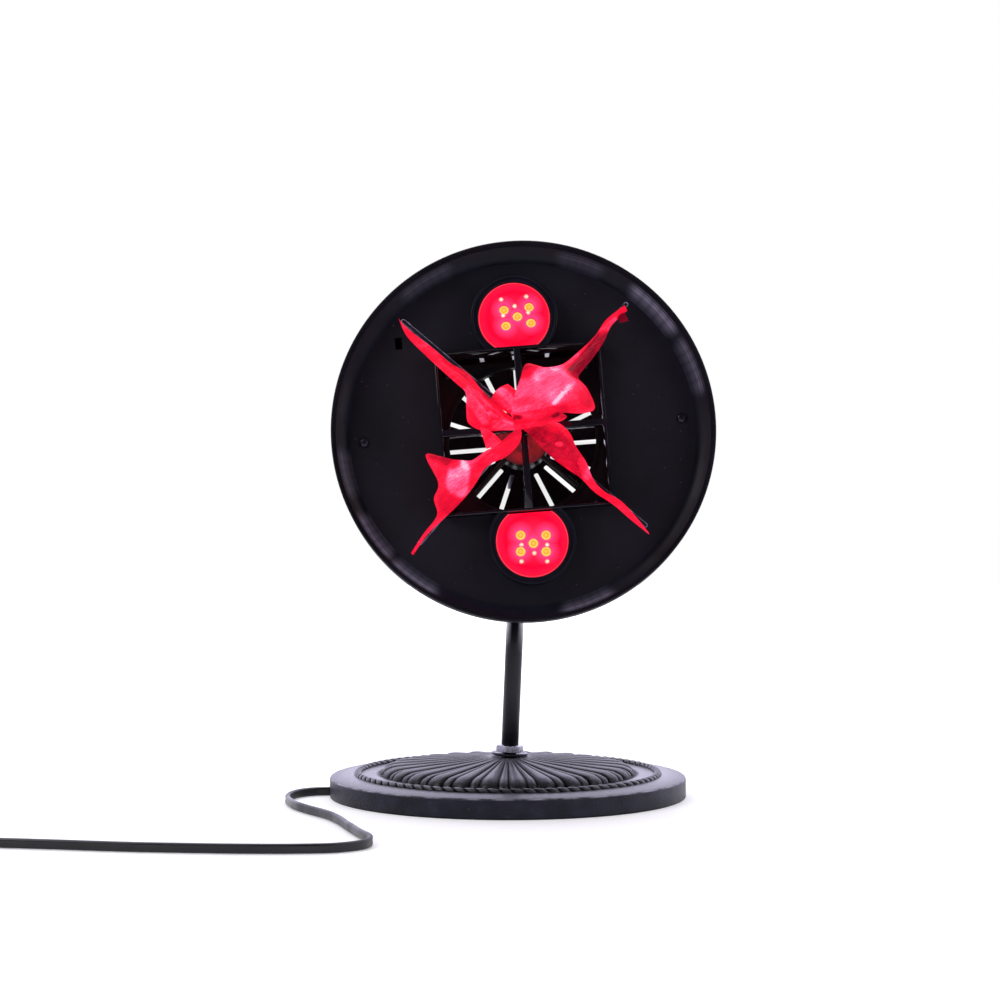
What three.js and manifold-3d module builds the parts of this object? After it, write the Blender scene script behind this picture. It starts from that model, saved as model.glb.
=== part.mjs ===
// Flame effect lamp: a dished head with a square air duct, a fan, two red lamps and silk flames,
// on a bent tube stem and a fluted cast base.
// Millimetres, +Z up, origin under the middle of the base, the dish faces -Y.
import * as THREE from 'three';
import { mergeVertices } from 'three/addons/utils/BufferGeometryUtils.js';
import Module from 'manifold-3d';

const wasm = await Module();
wasm.setup();

// Clearances and overruns
const seatGap = 0.3;
const runGap = 0.6;
const cutOver = 1;
const joinOver = 1;
const cornerShare = 0.3;

// Cast base
const baseRadius = 131.3;
const basePlateHeight = 14.4;
const baseStepRise = 1.8;
const baseStepInset = 17.8;
const baseEdgeRound = 1.6;
const baseWall = 4;
const domeFootRadius = 94;
const domeLandRadius = 15;
const domeTopHeight = 28.6;
const domeShoulderShare = 0.85;
const domeShoulderDrop = 6.2;
const domeCoreSink = 1.6;
const ropeRingRadius = 110.7;
const ropeRingThickness = 2.6;
const fluteDepth = 2.1;
const flutePairs = 28;
const stemHoleRadius = 6.6;
const cordNotchWidth = 5.4;
const cordNotchHeight = 7.4;
const cordNotchPlace = -6;

// Stem tube and its clamp
const stemLean = THREE.MathUtils.degToRad(2.4);
const stemRadius = 6.35;
const stemBore = 5.3;
const leadRadius = 2.8;
const stemBendRadius = 38;
const stemBendAngle = THREE.MathUtils.degToRad(72);
const stemRimRoom = 4.5;
const stemBowlRoom = 54;
const stemBackReach = 87;
const nippleRadius = 4.9;
const nippleBore = 3.4;
const nippleGrip = 12;
const washerRadius = 13.5;
const washerThickness = 2;
const nutAcrossFlats = 17.8;
const nutHeight = 5;
const nutTurn = THREE.MathUtils.degToRad(-17.8);

// Tilting knuckle behind the head
const pivotHeight = 254.5;
const knuckleRadius = 11;
const earThickness = 5;
const pivotPinRadius = 2.8;
const collarRadius = 9.5;
const collarHeight = 14;
const collarCap = 3;
const earFoot = 3;
const pivotSetback = 31;
const flangeThickness = 3;
const shankRoom = 2;
const studProud = 3;
const knobGrooveProud = 1.5;
const knobGrooveShare = 0.33;
const knobRadius = 9;
const knobThickness = 6;
const bossRadius = 14;
const headTilt = THREE.MathUtils.degToRad(7.5);
const headRoll = THREE.MathUtils.degToRad(6.9);

// Dish of the head, seen from its rim backwards
const dishRadius = 140;
const dishWall = 2.2;
const rimBandDepth = 8;
const rimBandWidth = 3.7;
const rimRound = 1;
const slopeWidth = 8.5;
const plateDepth = 20;
const skirtDepth = 18;
const bowlLapDepth = 3.5;
const bowlShoulderDepth = 25;
const bowlShoulderInset = 4;
const bowlRearRadius = 90;
const bowlRearStart = 80;
const headDepth = 89;
const bowlRearRound = 6;
const plateScrewInset = 19;
const plateBossRadius = 4.5;
const latchSlotWidth = 4.4;
const latchSlotHeight = 7.3;
const latchSlotPlace = [-85.3, 71.9];
const faceRise = 1.8;
const bowlInnerStep = 1;

// Duct, its cross bars and the lamp collars
const ductOpening = 118;
const ductWall = 1.8;
const ductLipDepth = 7;
const crossBarWidth = 4.8;
const crossBarDepth = 9;
const crossBossProud = 2;
const lampRoom = 1.5;
const collarOuter = 31.7;
const collarWall = 1.8;
const collarLedgeDepth = 14;
const collarLedgeWall = 2.2;
const collarLedgeWidth = 3;
const filterRadius = 26.4;
const filterThickness = 1.6;
const filterFlatRoom = 1.2;

// Lamps
const lampRadius = 20;
const lampDepth = 30;
const lampNeckRadius = 8;
const lampRimDepth = 4;
const lampRimWall = 2;
const lampWell = 3;
const ledRadius = 3.2;
const ledSpreadX = 18.2;
const ledSpreadZ = 12;
const socketSize = 17;
const socketHeight = 12;

// Fan
const fanFront = 50;
const fanSize = 119;
const fanDepth = 25;
const fanBore = 57.5;
const fanLipRadius = 55;
const fanLipDepth = 2;
const fanFlareRadius = 58.6;
const fanFlareDepth = 8;
const fanHolePitch = 105;
const fanHoleRadius = 2.2;
const fanFlange = 5;
const fanHubRadius = 19.6;
const fanStrutWidth = 3.2;
const fanStatorDepth = 4;
const statorCap = 1;
const rotorHubRadius = 20;
const rotorTipRadius = 55.8;
const bladeCount = 7;
const bladeThickness = 1.8;
const bladePitch = THREE.MathUtils.degToRad(38);
const bladeChordShare = 0.78;
const bladeCamberShare = 0.05;
const bladeTurn = THREE.MathUtils.degToRad(11);
const labelRadius = 19.3;
const labelThickness = 0.4;

// Rear grille
const slotCount = 16;
const slotWidth = 3.5;
const slotInner = 23;
const slotOuter = 66;

// Silk flames and their cross-shaped holder
const armReach = 116;
const armWidth = 3.6;
const armThickness = 2;
const armFront = 13;
const holderPostRadius = 4;
const silkThickness = 0.7;

// Screws
const screwRadius = 1.9;
const screwHeadRadius = 3.6;
const screwHeadHeight = 2;
const plateScrewLength = 14;
const fanScrewLength = 32;
const fanBossRadius = 4.4;

// Power supply inside the head
const supplyWidth = 18;
const supplyHeight = 58;
const supplyDepth = 34;
const supplyRoom = 4.2;

// Cord, its fittings and its coil
const cordWidth = 6.4;
const cordThickness = 3.8;
const cordFloorGap = 0.2;
const coilLoops = 5;
const coilDiameter = 5;
const coilMeanRadius = 34;
const coilStep = 5.6;
const coilLayerStep = 6.9;
const coilPlace = [-385, -205];
const tailLength = 26;
const tieWidth = 9;
const tieThickness = 1.4;
const plugLength = 36;
const plugWidth = 25;
const plugThickness = 15;
const plugPinLength = 18;
const plugPinWidth = 6.3;
const plugPinThickness = 1.5;
const plugPinPitch = 12.7;

// Rocker switch in the rear wall of the head
const switchReach = 75;
const switchWidth = 9.6;
const switchHeight = 15;
const switchBodyDepth = 10;
const switchFlangeEdge = 1.2;
const switchFlangeDepth = 1.4;
const rockerRise = 1.8;
const rockerAxisSink = 1;
const switchWellSink = 1;

// Surface colours and finishes
const finishes = {
  blackPlastic: { color: 0x18161f, roughness: 0.55, metalness: 0 },
  glossPlastic: { color: 0x0b0b10, roughness: 0.2, metalness: 0 },
  castIron: { color: 0x2d2d3a, roughness: 0.6, metalness: 0.4 },
  blackTube: { color: 0x1c1c24, roughness: 0.35, metalness: 0.5 },
  steel: { color: 0x9696a0, roughness: 0.35, metalness: 1 },
  brass: { color: 0xb49a5a, roughness: 0.35, metalness: 1 },
  redFilter: { color: 0xff193c, roughness: 0.15, metalness: 0 },
  amberLed: { color: 0xffc83c, roughness: 0.3, metalness: 0 },
  redLabel: { color: 0xc02030, roughness: 0.5, metalness: 0 },
  redSilk: { color: 0xff1937, roughness: 0.7, metalness: 0 },
  cordPlastic: { color: 0x15151b, roughness: 0.45, metalness: 0 },
  whiteCeramic: { color: 0xd8d6cc, roughness: 0.5, metalness: 0 },
};

// Shared shape helpers
function signedVolume(geometry) {
  const place = geometry.getAttribute('position');
  const index = geometry.getIndex().array;
  const a = new THREE.Vector3();
  const b = new THREE.Vector3();
  const c = new THREE.Vector3();
  let six = 0;
  for (let i = 0; i < index.length; i += 3) {
    a.fromBufferAttribute(place, index[i]);
    b.fromBufferAttribute(place, index[i + 1]);
    c.fromBufferAttribute(place, index[i + 2]);
    six += a.dot(b.cross(c));
  }
  return six;
}

function flipFaces(geometry) {
  const index = geometry.getIndex().array;
  for (let i = 0; i < index.length; i += 3) {
    [index[i + 1], index[i + 2]] = [index[i + 2], index[i + 1]];
  }
}

function closedShape(source) {
  const bare = source.clone();
  bare.deleteAttribute('normal');
  bare.deleteAttribute('uv');
  const merged = mergeVertices(bare, 1e-4);
  const index = merged.getIndex().array;
  const kept = [];
  for (let i = 0; i < index.length; i += 3) {
    const [a, b, c] = [index[i], index[i + 1], index[i + 2]];
    if (a !== b && b !== c && c !== a) kept.push(a, b, c);
  }
  merged.setIndex(kept);
  if (signedVolume(merged) < 0) flipFaces(merged);
  return merged;
}

function solid(geometry) {
  const closed = closedShape(geometry);
  const vertProperties = Float32Array.from(closed.getAttribute('position').array);
  const triVerts = Uint32Array.from(closed.getIndex().array);
  return new wasm.Manifold(new wasm.Mesh({ numProp: 3, vertProperties, triVerts }));
}

function geometryOf(manifold) {
  const { vertProperties, triVerts } = manifold.getMesh();
  const geometry = new THREE.BufferGeometry();
  geometry.setAttribute('position', new THREE.BufferAttribute(Float32Array.from(vertProperties), 3));
  geometry.setIndex(Array.from(triVerts));
  geometry.computeVertexNormals();
  return geometry;
}

function joined(...solids) {
  return solids.reduce((whole, piece) => whole.add(piece));
}

function cutBy(body, ...tools) {
  return tools.reduce((left, tool) => left.subtract(tool), body);
}

function piece(name, finish, shape) {
  const geometry = shape instanceof THREE.BufferGeometry ? closedShape(shape) : geometryOf(shape);
  geometry.computeVertexNormals();
  const mesh = new THREE.Mesh(geometry, new THREE.MeshStandardMaterial(finishes[finish]));
  mesh.name = name;
  return mesh;
}

function boxGeometry(width, depth, height, x = 0, y = 0, z = 0) {
  return new THREE.BoxGeometry(width, depth, height).translate(x, y, z);
}

function box(width, depth, height, x = 0, y = 0, z = 0) {
  return solid(boxGeometry(width, depth, height, x, y, z));
}

function revolve(profile, segments) {
  return new THREE.LatheGeometry(profile.map(([r, along]) => new THREE.Vector2(r, along)), segments);
}

function ring(profile, segments) {
  return revolve([...profile, profile[0]], segments);
}

// A rod along the depth axis from one depth to another
function rodY(radius, from, to, x = 0, z = 0, segments = 20) {
  const rod = new THREE.CylinderGeometry(radius, radius, to - from, segments);
  return rod.translate(x, (from + to) / 2, z);
}

function rodZ(radius, from, to, x = 0, y = 0, segments = 20) {
  const rod = new THREE.CylinderGeometry(radius, radius, to - from, segments).rotateX(Math.PI / 2);
  return rod.translate(x, y, (from + to) / 2);
}

function rodX(radius, from, to, y = 0, z = 0, segments = 20) {
  const rod = new THREE.CylinderGeometry(radius, radius, to - from, segments).rotateZ(Math.PI / 2);
  return rod.translate((from + to) / 2, y, z);
}

function upright(geometry) {
  return geometry.rotateX(Math.PI / 2);
}

// A closed skin over rows of points, each row a closed loop, with fan caps at both ends
function loopSkin(rows) {
  const count = rows[0].length;
  const points = rows.flat();
  const faces = [];
  for (let row = 0; row + 1 < rows.length; row += 1) {
    for (let i = 0; i < count; i += 1) {
      const next = (i + 1) % count;
      const a = row * count + i;
      const b = row * count + next;
      faces.push(a, b, b + count, a, b + count, a + count);
    }
  }
  const last = (rows.length - 1) * count;
  for (let i = 1; i + 1 < count; i += 1) {
    faces.push(0, i + 1, i);
    faces.push(last, last + i, last + i + 1);
  }
  const geometry = new THREE.BufferGeometry().setFromPoints(points);
  geometry.setIndex(faces);
  return geometry;
}

// A tube round a chain of points, with an oval section that stays upright
function ovalTube(points, width, height, sides) {
  const rows = points.map((point, i) => {
    const before = points[Math.max(i - 1, 0)];
    const after = points[Math.min(i + 1, points.length - 1)];
    const ahead = after.clone().sub(before).normalize();
    const across = new THREE.Vector3(ahead.y, -ahead.x, 0).normalize();
    const above = across.clone().cross(ahead);
    return Array.from({ length: sides }, (_, k) => {
      const turn = ((k + 0.5) / sides) * 2 * Math.PI;
      const side = across.clone().multiplyScalar((width / 2) * Math.cos(turn));
      const rise = above.clone().multiplyScalar((height / 2) * Math.sin(turn));
      return point.clone().add(side).add(rise);
    });
  });
  return loopSkin(rows);
}

// Cast base: plate, rope bead and hollow underside are one profile, the fluted dome is a grid of radii
function fluteHeight(share) {
  const pair = (share * flutePairs) % 1;
  const wideShare = 0.66;
  const narrowShare = 1 - wideShare;
  if (pair < wideShare) return Math.sin((Math.PI * pair) / wideShare);
  return 0.55 * Math.sin((Math.PI * (pair - wideShare)) / narrowShare);
}

const baseStepHeight = basePlateHeight + baseStepRise;
const landUnder = domeTopHeight - baseWall - joinOver;

function flutedDome() {
  const stepsPerPair = 5;
  const columns = flutePairs * stepsPerPair;
  const radiusShares = [0, 0.29, 0.76, 0.9, 0.97, 1];
  const fallShares = [0, 0.16, 0.38, 0.48, 0.7, 1];
  const steepShare = 0.93;
  const sinkDepth = baseWall / 2;
  const rise = domeTopHeight - baseStepHeight;
  const rows = radiusShares.map((share, k) => {
    const radius = domeLandRadius + share * (domeFootRadius - domeLandRadius);
    const height = domeTopHeight - fallShares[k] * (rise + sinkDepth * (share === 1 ? 1 : 0));
    return Array.from({ length: columns }, (_, i) => {
      const lobe = fluteHeight((i + 0.5) / columns);
      const grown = share === 0 ? 0 : fluteDepth * (lobe - 1) * Math.min(1, share * 3);
      const steep = share > steepShare;
      const reach = radius + (steep ? grown : 0);
      const turn = (i / columns) * 2 * Math.PI;
      const z = steep ? height : height + grown;
      return new THREE.Vector3(reach * Math.cos(turn), reach * Math.sin(turn), z);
    });
  });
  return loopSkin(rows);
}

function baseCasting() {
  const innerRadius = baseRadius - baseWall;
  const innerTop = basePlateHeight - baseWall;
  const domeInner = domeFootRadius - baseWall;
  const shoulderRadius = domeFootRadius * domeShoulderShare;
  const shoulderTop = domeTopHeight - domeShoulderDrop;
  const bead = ropeRingThickness;
  const profile = [
    [stemHoleRadius, landUnder],
    [domeLandRadius + baseWall, landUnder],
    [shoulderRadius, shoulderTop - baseWall],
    [domeInner, innerTop],
    [innerRadius, innerTop],
    [innerRadius, 0],
    [baseRadius - baseEdgeRound / 2, 0],
    [baseRadius, baseEdgeRound / 2],
    [baseRadius, basePlateHeight - baseEdgeRound],
    [baseRadius - baseEdgeRound * cornerShare, basePlateHeight - baseEdgeRound * cornerShare],
    [baseRadius - baseEdgeRound, basePlateHeight],
    [baseRadius - baseStepInset, baseStepHeight],
    [ropeRingRadius + bead * 0.6, baseStepHeight + bead * 0.8],
    [ropeRingRadius - bead * 0.6, baseStepHeight + bead * 0.8],
    [ropeRingRadius - bead, baseStepHeight],
    [domeFootRadius - baseWall, baseStepHeight],
    [shoulderRadius, shoulderTop - domeCoreSink],
    [domeLandRadius, domeTopHeight - domeCoreSink],
    [stemHoleRadius, domeTopHeight - domeCoreSink],
  ];
  const plate = solid(upright(ring(profile, 56)));
  const hollow = solid(upright(revolve([
    [0, -cutOver],
    [domeInner, -cutOver],
    [domeInner, innerTop],
    [shoulderRadius, shoulderTop - baseWall],
    [domeLandRadius + baseWall, landUnder],
    [0, landUnder],
  ], 56)));
  const dome = cutBy(solid(flutedDome()), hollow);
  const stemHole = solid(rodZ(stemHoleRadius, -cutOver, domeTopHeight + cutOver, 0, 0, 24));
  const notchMiddle = -(baseRadius + innerRadius) / 2;
  const notchLength = 2 * baseWall;
  const notchY = cordNotchPlace;
  const cordNotch = box(notchLength, cordNotchWidth + notchLength, 2 * cordNotchHeight, notchMiddle, notchY);
  return piece('base_casting', 'castIron', cutBy(joined(plate, dome), stemHole, cordNotch));
}

// Clamp of the stem: threaded nipple, two washers and two hex nuts on the leaning axis
const leanLift = washerRadius * Math.sin(stemLean);
const washerBottom = domeTopHeight + seatGap + leanLift;
const nutBottom = washerBottom + washerThickness + seatGap;
const stemFoot = nutBottom + nutHeight + seatGap;
const lowerWasherTop = landUnder - seatGap - leanLift;
const lowerWasherBottom = lowerWasherTop - washerThickness;
const lowerNutTop = lowerWasherBottom - seatGap;
const nippleBottom = lowerNutTop - nutHeight - washerThickness / 2;
const nippleTop = stemFoot + nippleGrip;
const threadClearance = seatGap * 1.4;

function tubeAlong(name, finish, outer, inner, bottom, top, sides) {
  const profile = [[inner, bottom], [outer, bottom], [outer, top], [inner, top]];
  return piece(name, finish, upright(ring(profile, sides)));
}

function hexNut(name, bottom) {
  const corner = nutAcrossFlats / Math.sqrt(3);
  const body = solid(rodZ(corner, bottom, bottom + nutHeight, 0, 0, 6).rotateZ(nutTurn));
  const bore = solid(rodZ(nippleRadius + threadClearance, bottom - cutOver, bottom + nutHeight + cutOver));
  return piece(name, 'steel', cutBy(body, bore));
}

function stemClamp() {
  const bore = nippleRadius + threadClearance;
  return [
    tubeAlong('stem_nipple', 'brass', nippleRadius, nippleBore, nippleBottom, nippleTop, 20),
    tubeAlong('top_washer', 'steel', washerRadius, bore, washerBottom, washerBottom + washerThickness, 20),
    hexNut('top_nut', nutBottom),
    tubeAlong('lower_washer', 'steel', washerRadius, bore, lowerWasherBottom, lowerWasherTop, 20),
    hexNut('lower_nut', lowerNutTop - nutHeight),
  ];
}

// Stem: straight, bent back under the head and bent up again behind it
const earDrop = knuckleRadius + earFoot;
const pinBore = pivotPinRadius + seatGap;
const stemTop = pivotHeight - earDrop - collarCap - seatGap;
const stemDrop = Math.max(dishRadius + stemRimRoom, bowlRearRadius + stemBowlRoom);
const stemBendStart = pivotHeight - stemDrop;

function stemPoints(bottom, top) {
  const stepAngle = stemBendAngle / 6;
  const bendReach = stemBendRadius * (1 - Math.cos(stemBendAngle));
  const bendRise = stemBendRadius * Math.sin(stemBendAngle);
  const run = (stemBackReach - 2 * bendReach) / Math.sin(stemBendAngle);
  const points = [new THREE.Vector3(0, 0, bottom), new THREE.Vector3(0, 0, stemBendStart)];
  for (let k = 1; k <= 6; k += 1) {
    const turn = k * stepAngle;
    const y = stemBendRadius * (1 - Math.cos(turn));
    points.push(new THREE.Vector3(0, y, stemBendStart + stemBendRadius * Math.sin(turn)));
  }
  const secondY = bendReach + run * Math.sin(stemBendAngle);
  const secondZ = stemBendStart + bendRise + run * Math.cos(stemBendAngle);
  for (let k = 0; k <= 6; k += 1) {
    const turn = stemBendAngle - k * stepAngle;
    const y = secondY + bendReach - stemBendRadius * (1 - Math.cos(turn));
    points.push(new THREE.Vector3(0, y, secondZ + bendRise - stemBendRadius * Math.sin(turn)));
  }
  points.push(new THREE.Vector3(0, stemBackReach, top));
  return points;
}

function roundTube(points, radius, sides) {
  const rows = points.map((point, i) => {
    const before = points[Math.max(i - 1, 0)];
    const after = points[Math.min(i + 1, points.length - 1)];
    const ahead = after.clone().sub(before).normalize();
    const side = new THREE.Vector3(1, 0, 0);
    const above = side.clone().cross(ahead).normalize();
    return Array.from({ length: sides }, (_, k) => {
      const turn = (k / sides) * 2 * Math.PI;
      const out = side.clone().multiplyScalar(radius * Math.cos(turn));
      return point.clone().add(out).addScaledVector(above, radius * Math.sin(turn));
    });
  });
  return loopSkin(rows);
}

function stemTube() {
  const skin = solid(roundTube(stemPoints(stemFoot, stemTop), stemRadius, 14));
  const bore = solid(roundTube(stemPoints(stemFoot - cutOver, stemTop + cutOver), stemBore, 10));
  return piece('stem_tube', 'blackTube', cutBy(skin, bore));
}

function stemLead() {
  const points = stemPoints(nippleBottom, stemTop + collarCap);
  return piece('stem_lead', 'cordPlastic', roundTube(points, leadRadius, 6));
}

// Knuckle: a socket on the tube and two ears side by side on one pin
function lowerKnuckle() {
  const top = pivotHeight - earDrop;
  const socketBore = stemRadius + seatGap * 1.5;
  const body = solid(rodZ(collarRadius, top - collarHeight, top, 0, stemBackReach, 24));
  const socket = solid(rodZ(socketBore, top - collarHeight - cutOver, top - collarCap, 0, stemBackReach, 24));
  const leadHole = solid(rodZ(leadRadius + runGap, top - collarHeight, top + cutOver, 0, stemBackReach, 12));
  const ear = solid(rodX(knuckleRadius, seatGap, seatGap + earThickness, stemBackReach, pivotHeight, 24));
  const neck = box(earThickness, knuckleRadius * 1.5, earDrop, seatGap + earThickness / 2, stemBackReach,
    pivotHeight - earDrop / 2);
  const pinHole = solid(rodX(pinBore, -cutOver, 2 * earThickness, stemBackReach, pivotHeight));
  const whole = cutBy(joined(cutBy(body, socket), ear, neck), leadHole, pinHole);
  return piece('knuckle_lower', 'blackTube', whole);
}

// The upper half turns on the pin, so it is placed from the pin at zero depth
const pivotDepth = headDepth + pivotSetback;

function upperKnuckle() {
  const rear = headDepth - pivotDepth;
  const flange = solid(rodY(bossRadius, rear + seatGap, rear + seatGap + flangeThickness, 0, 0, 28));
  const shank = solid(rodY(collarRadius * 0.75, rear + seatGap, -knuckleRadius - shankRoom, 0, 0, 20));
  const stud = solid(rodY(nippleRadius, rear - dishWall - nutHeight - studProud, rear + joinOver, 0, 0, 20));
  const ear = solid(rodX(knuckleRadius, -seatGap - earThickness, -seatGap, 0, 0, 24));
  const neck = box(earThickness, earDrop, knuckleRadius * 1.5, -seatGap - earThickness / 2, -earDrop / 2);
  const pinHole = solid(rodX(pinBore, -2 * earThickness, cutOver));
  return piece('knuckle_upper', 'blackTube', cutBy(joined(flange, shank, stud, ear, neck), pinHole));
}

function pivotScrew() {
  const outside = seatGap + earThickness + seatGap;
  const pin = solid(rodX(pivotPinRadius, -outside, outside + knobThickness, stemBackReach, pivotHeight, 16));
  const headEnd = -outside - pivotPinRadius;
  const head = solid(rodX(pivotPinRadius * 2, headEnd, -outside, stemBackReach, pivotHeight, 16));
  return piece('pivot_screw', 'steel', joined(pin, head));
}

function pivotKnob() {
  const start = seatGap + earThickness + seatGap;
  const body = solid(rodX(knobRadius, start, start + knobThickness, stemBackReach, pivotHeight, 24));
  const end = start + knobThickness;
  const bore = solid(rodX(pinBore, start - cutOver, end + cutOver, stemBackReach, pivotHeight, 16));
  const reach = knobRadius + knobGrooveProud;
  const grooves = Array.from({ length: 6 }, (_, k) => {
    const turn = (k / 6) * 2 * Math.PI;
    const y = stemBackReach + reach * Math.cos(turn);
    const z = pivotHeight + reach * Math.sin(turn);
    return solid(rodX(knobRadius * knobGrooveShare, start - cutOver, end + cutOver, y, z, 10));
  });
  return piece('pivot_knob', 'blackPlastic', cutBy(body, bore, ...grooves));
}

function bossNut() {
  const rear = headDepth - dishWall - seatGap;
  const corner = nutAcrossFlats / Math.sqrt(3);
  const body = solid(rodY(corner, rear - nutHeight, rear, 0, 0, 6));
  const bore = solid(rodY(nippleRadius + threadClearance, rear - nutHeight - cutOver, rear + cutOver));
  return piece('boss_nut', 'steel', cutBy(body, bore));
}

// Front moulding: rim, sloped band, plate, duct, cross bars and lamp collars
const bandRadius = dishRadius - rimBandWidth;
const plateRadius = bandRadius - slopeWidth;
const ductOuter = ductOpening + 2 * ductWall;
const bandBack = dishWall * 1.25;
const bowlShoulderRadius = dishRadius - bowlShoulderInset;
const plateScrewReach = bowlShoulderRadius - plateScrewInset;
const lampReach = ductOuter / 2 + lampRadius + runGap + lampRoom;
const filterFlatReach = ductOuter / 2 + filterFlatRoom;
const postBack = ductLipDepth + crossBarDepth - crossBossProud;
const bothSides = [1, -1];

function lampHeight(side) {
  return faceRise + side * lampReach;
}

function lampCollar(side) {
  const z = lampHeight(side);
  const back = plateDepth + dishWall + lampRimDepth;
  const outer = solid(rodY(collarOuter, ductLipDepth, plateDepth + dishWall, 0, z, 28));
  const sleeve = solid(rodY(lampRadius + runGap + collarWall, plateDepth, back, 0, z, 28));
  const plateEdge = solid(rodY(plateRadius, -cutOver, back + cutOver, 0, 0, 56));
  return joined(outer, sleeve).intersect(plateEdge);
}

function lampHoles(side) {
  const z = lampHeight(side);
  const back = plateDepth + dishWall + lampRimDepth + cutOver;
  const ledgeBack = collarLedgeDepth + collarLedgeWall;
  return [
    solid(rodY(collarOuter - collarWall, ductLipDepth - cutOver, ductLipDepth + cutOver, 0, z, 28)),
    solid(rodY(filterRadius + seatGap * 1.5, ductLipDepth, collarLedgeDepth, 0, z, 28)),
    solid(rodY(filterRadius - collarLedgeWidth, ductLipDepth, ledgeBack + cutOver, 0, z, 28)),
    solid(rodY(lampRadius + runGap, ledgeBack, back, 0, z, 28)),
  ];
}

function frontMoulding() {
  const shell = solid(ring([
    [0, plateDepth],
    [plateRadius, plateDepth],
    [bandRadius, rimBandDepth],
    [dishRadius - rimRound, 0],
    [dishRadius - rimRound * cornerShare, rimRound * cornerShare],
    [dishRadius, rimRound],
    [dishRadius, skirtDepth],
    [dishRadius - dishWall, skirtDepth],
    [dishRadius - dishWall, rimBandDepth + bandBack],
    [plateRadius + bandBack / 2, plateDepth + dishWall],
    [0, plateDepth + dishWall],
  ], 56));
  const ductLength = fanFront - seatGap - ductLipDepth;
  const ductMiddle = ductLipDepth + ductLength / 2;
  const ductBody = box(ductOuter, ductLength, ductOuter, 0, ductMiddle, faceRise);
  const ductHollow = box(ductOpening, ductLength + fanFront, ductOpening, 0, ductMiddle, faceRise);
  const crossMiddle = ductLipDepth + crossBarDepth / 2;
  const crossLength = ductOpening + ductWall;
  const upBar = box(crossBarWidth, crossBarDepth, crossLength, 0, crossMiddle, faceRise);
  const sideBar = box(crossLength, crossBarDepth, crossBarWidth, 0, crossMiddle, faceRise);
  const bossFront = ductLipDepth - crossBossProud;
  const crossBossRadius = holderPostRadius + dishWall;
  const boss = solid(rodY(crossBossRadius, bossFront, ductLipDepth + crossBarDepth, 0, faceRise, 20));
  const postHole = solid(rodY(holderPostRadius + seatGap, bossFront - cutOver, postBack, 0, faceRise));
  const collars = bothSides.map((side) => lampCollar(side));
  const holes = bothSides.flatMap((side) => lampHoles(side));
  const ductWalls = cutBy(ductBody, ductHollow);
  const screwHoleBack = plateDepth + dishWall + cutOver;
  const screwHoles = bothSides.map((side) => solid(
    rodY(screwRadius + seatGap, plateDepth - cutOver, screwHoleBack, side * plateScrewReach, faceRise, 12),
  ));
  const [slotX, slotZ] = latchSlotPlace;
  const latchSlot = box(latchSlotWidth, 4 * dishWall, latchSlotHeight, slotX, plateDepth, slotZ + faceRise);
  const dish = cutBy(joined(shell, ...collars), ductHollow, latchSlot, ...screwHoles, ...holes);
  const cross = cutBy(joined(upBar, sideBar, boss), postHole);
  return piece('front_plate', 'blackPlastic', joined(dish, ductWalls, cross));
}

// Rear bowl: tapered shell with a slotted rear wall, screw bosses and the switch window
function bowlSlots() {
  const length = slotOuter - slotInner;
  return Array.from({ length: slotCount }, (_, k) => {
    const slot = boxGeometry(length, 4 * dishWall, slotWidth, (slotInner + slotOuter) / 2, headDepth, 0);
    return solid(slot.rotateY((k / slotCount) * 2 * Math.PI));
  });
}

function bowlBosses() {
  const half = fanHolePitch / 2;
  const fanBack = fanFront + fanDepth + seatGap;
  const fanBosses = bothSides.flatMap((sx) => bothSides.map((sz) => solid(
    rodY(fanBossRadius, fanBack, headDepth - dishWall / 2, sx * half, sz * half, 14),
  )));
  const taper = (bowlShoulderRadius - bowlRearRadius) / (bowlRearStart - bowlShoulderDepth);
  const bossEnd = bowlShoulderDepth + (plateScrewInset - plateBossRadius) / taper - joinOver;
  const plateBosses = bothSides.map((side) => solid(
    rodY(plateBossRadius, plateDepth + dishWall + seatGap, bossEnd, side * plateScrewReach, faceRise, 14),
  ));
  return [...fanBosses, ...plateBosses];
}

function bossHoles() {
  const half = fanHolePitch / 2;
  const hole = screwRadius + seatGap;
  const fanBack = fanFront + fanDepth;
  const fanHoles = bothSides.flatMap((sx) => bothSides.map((sz) => solid(
    rodY(hole, fanBack, fanFront + fanScrewLength + seatGap, sx * half, sz * half, 12),
  )));
  const plateHoles = bothSides.map((side) => solid(
    rodY(hole, plateDepth, plateDepth + plateScrewLength + seatGap, side * plateScrewReach, faceRise, 12),
  ));
  return [...fanHoles, ...plateHoles];
}

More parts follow.
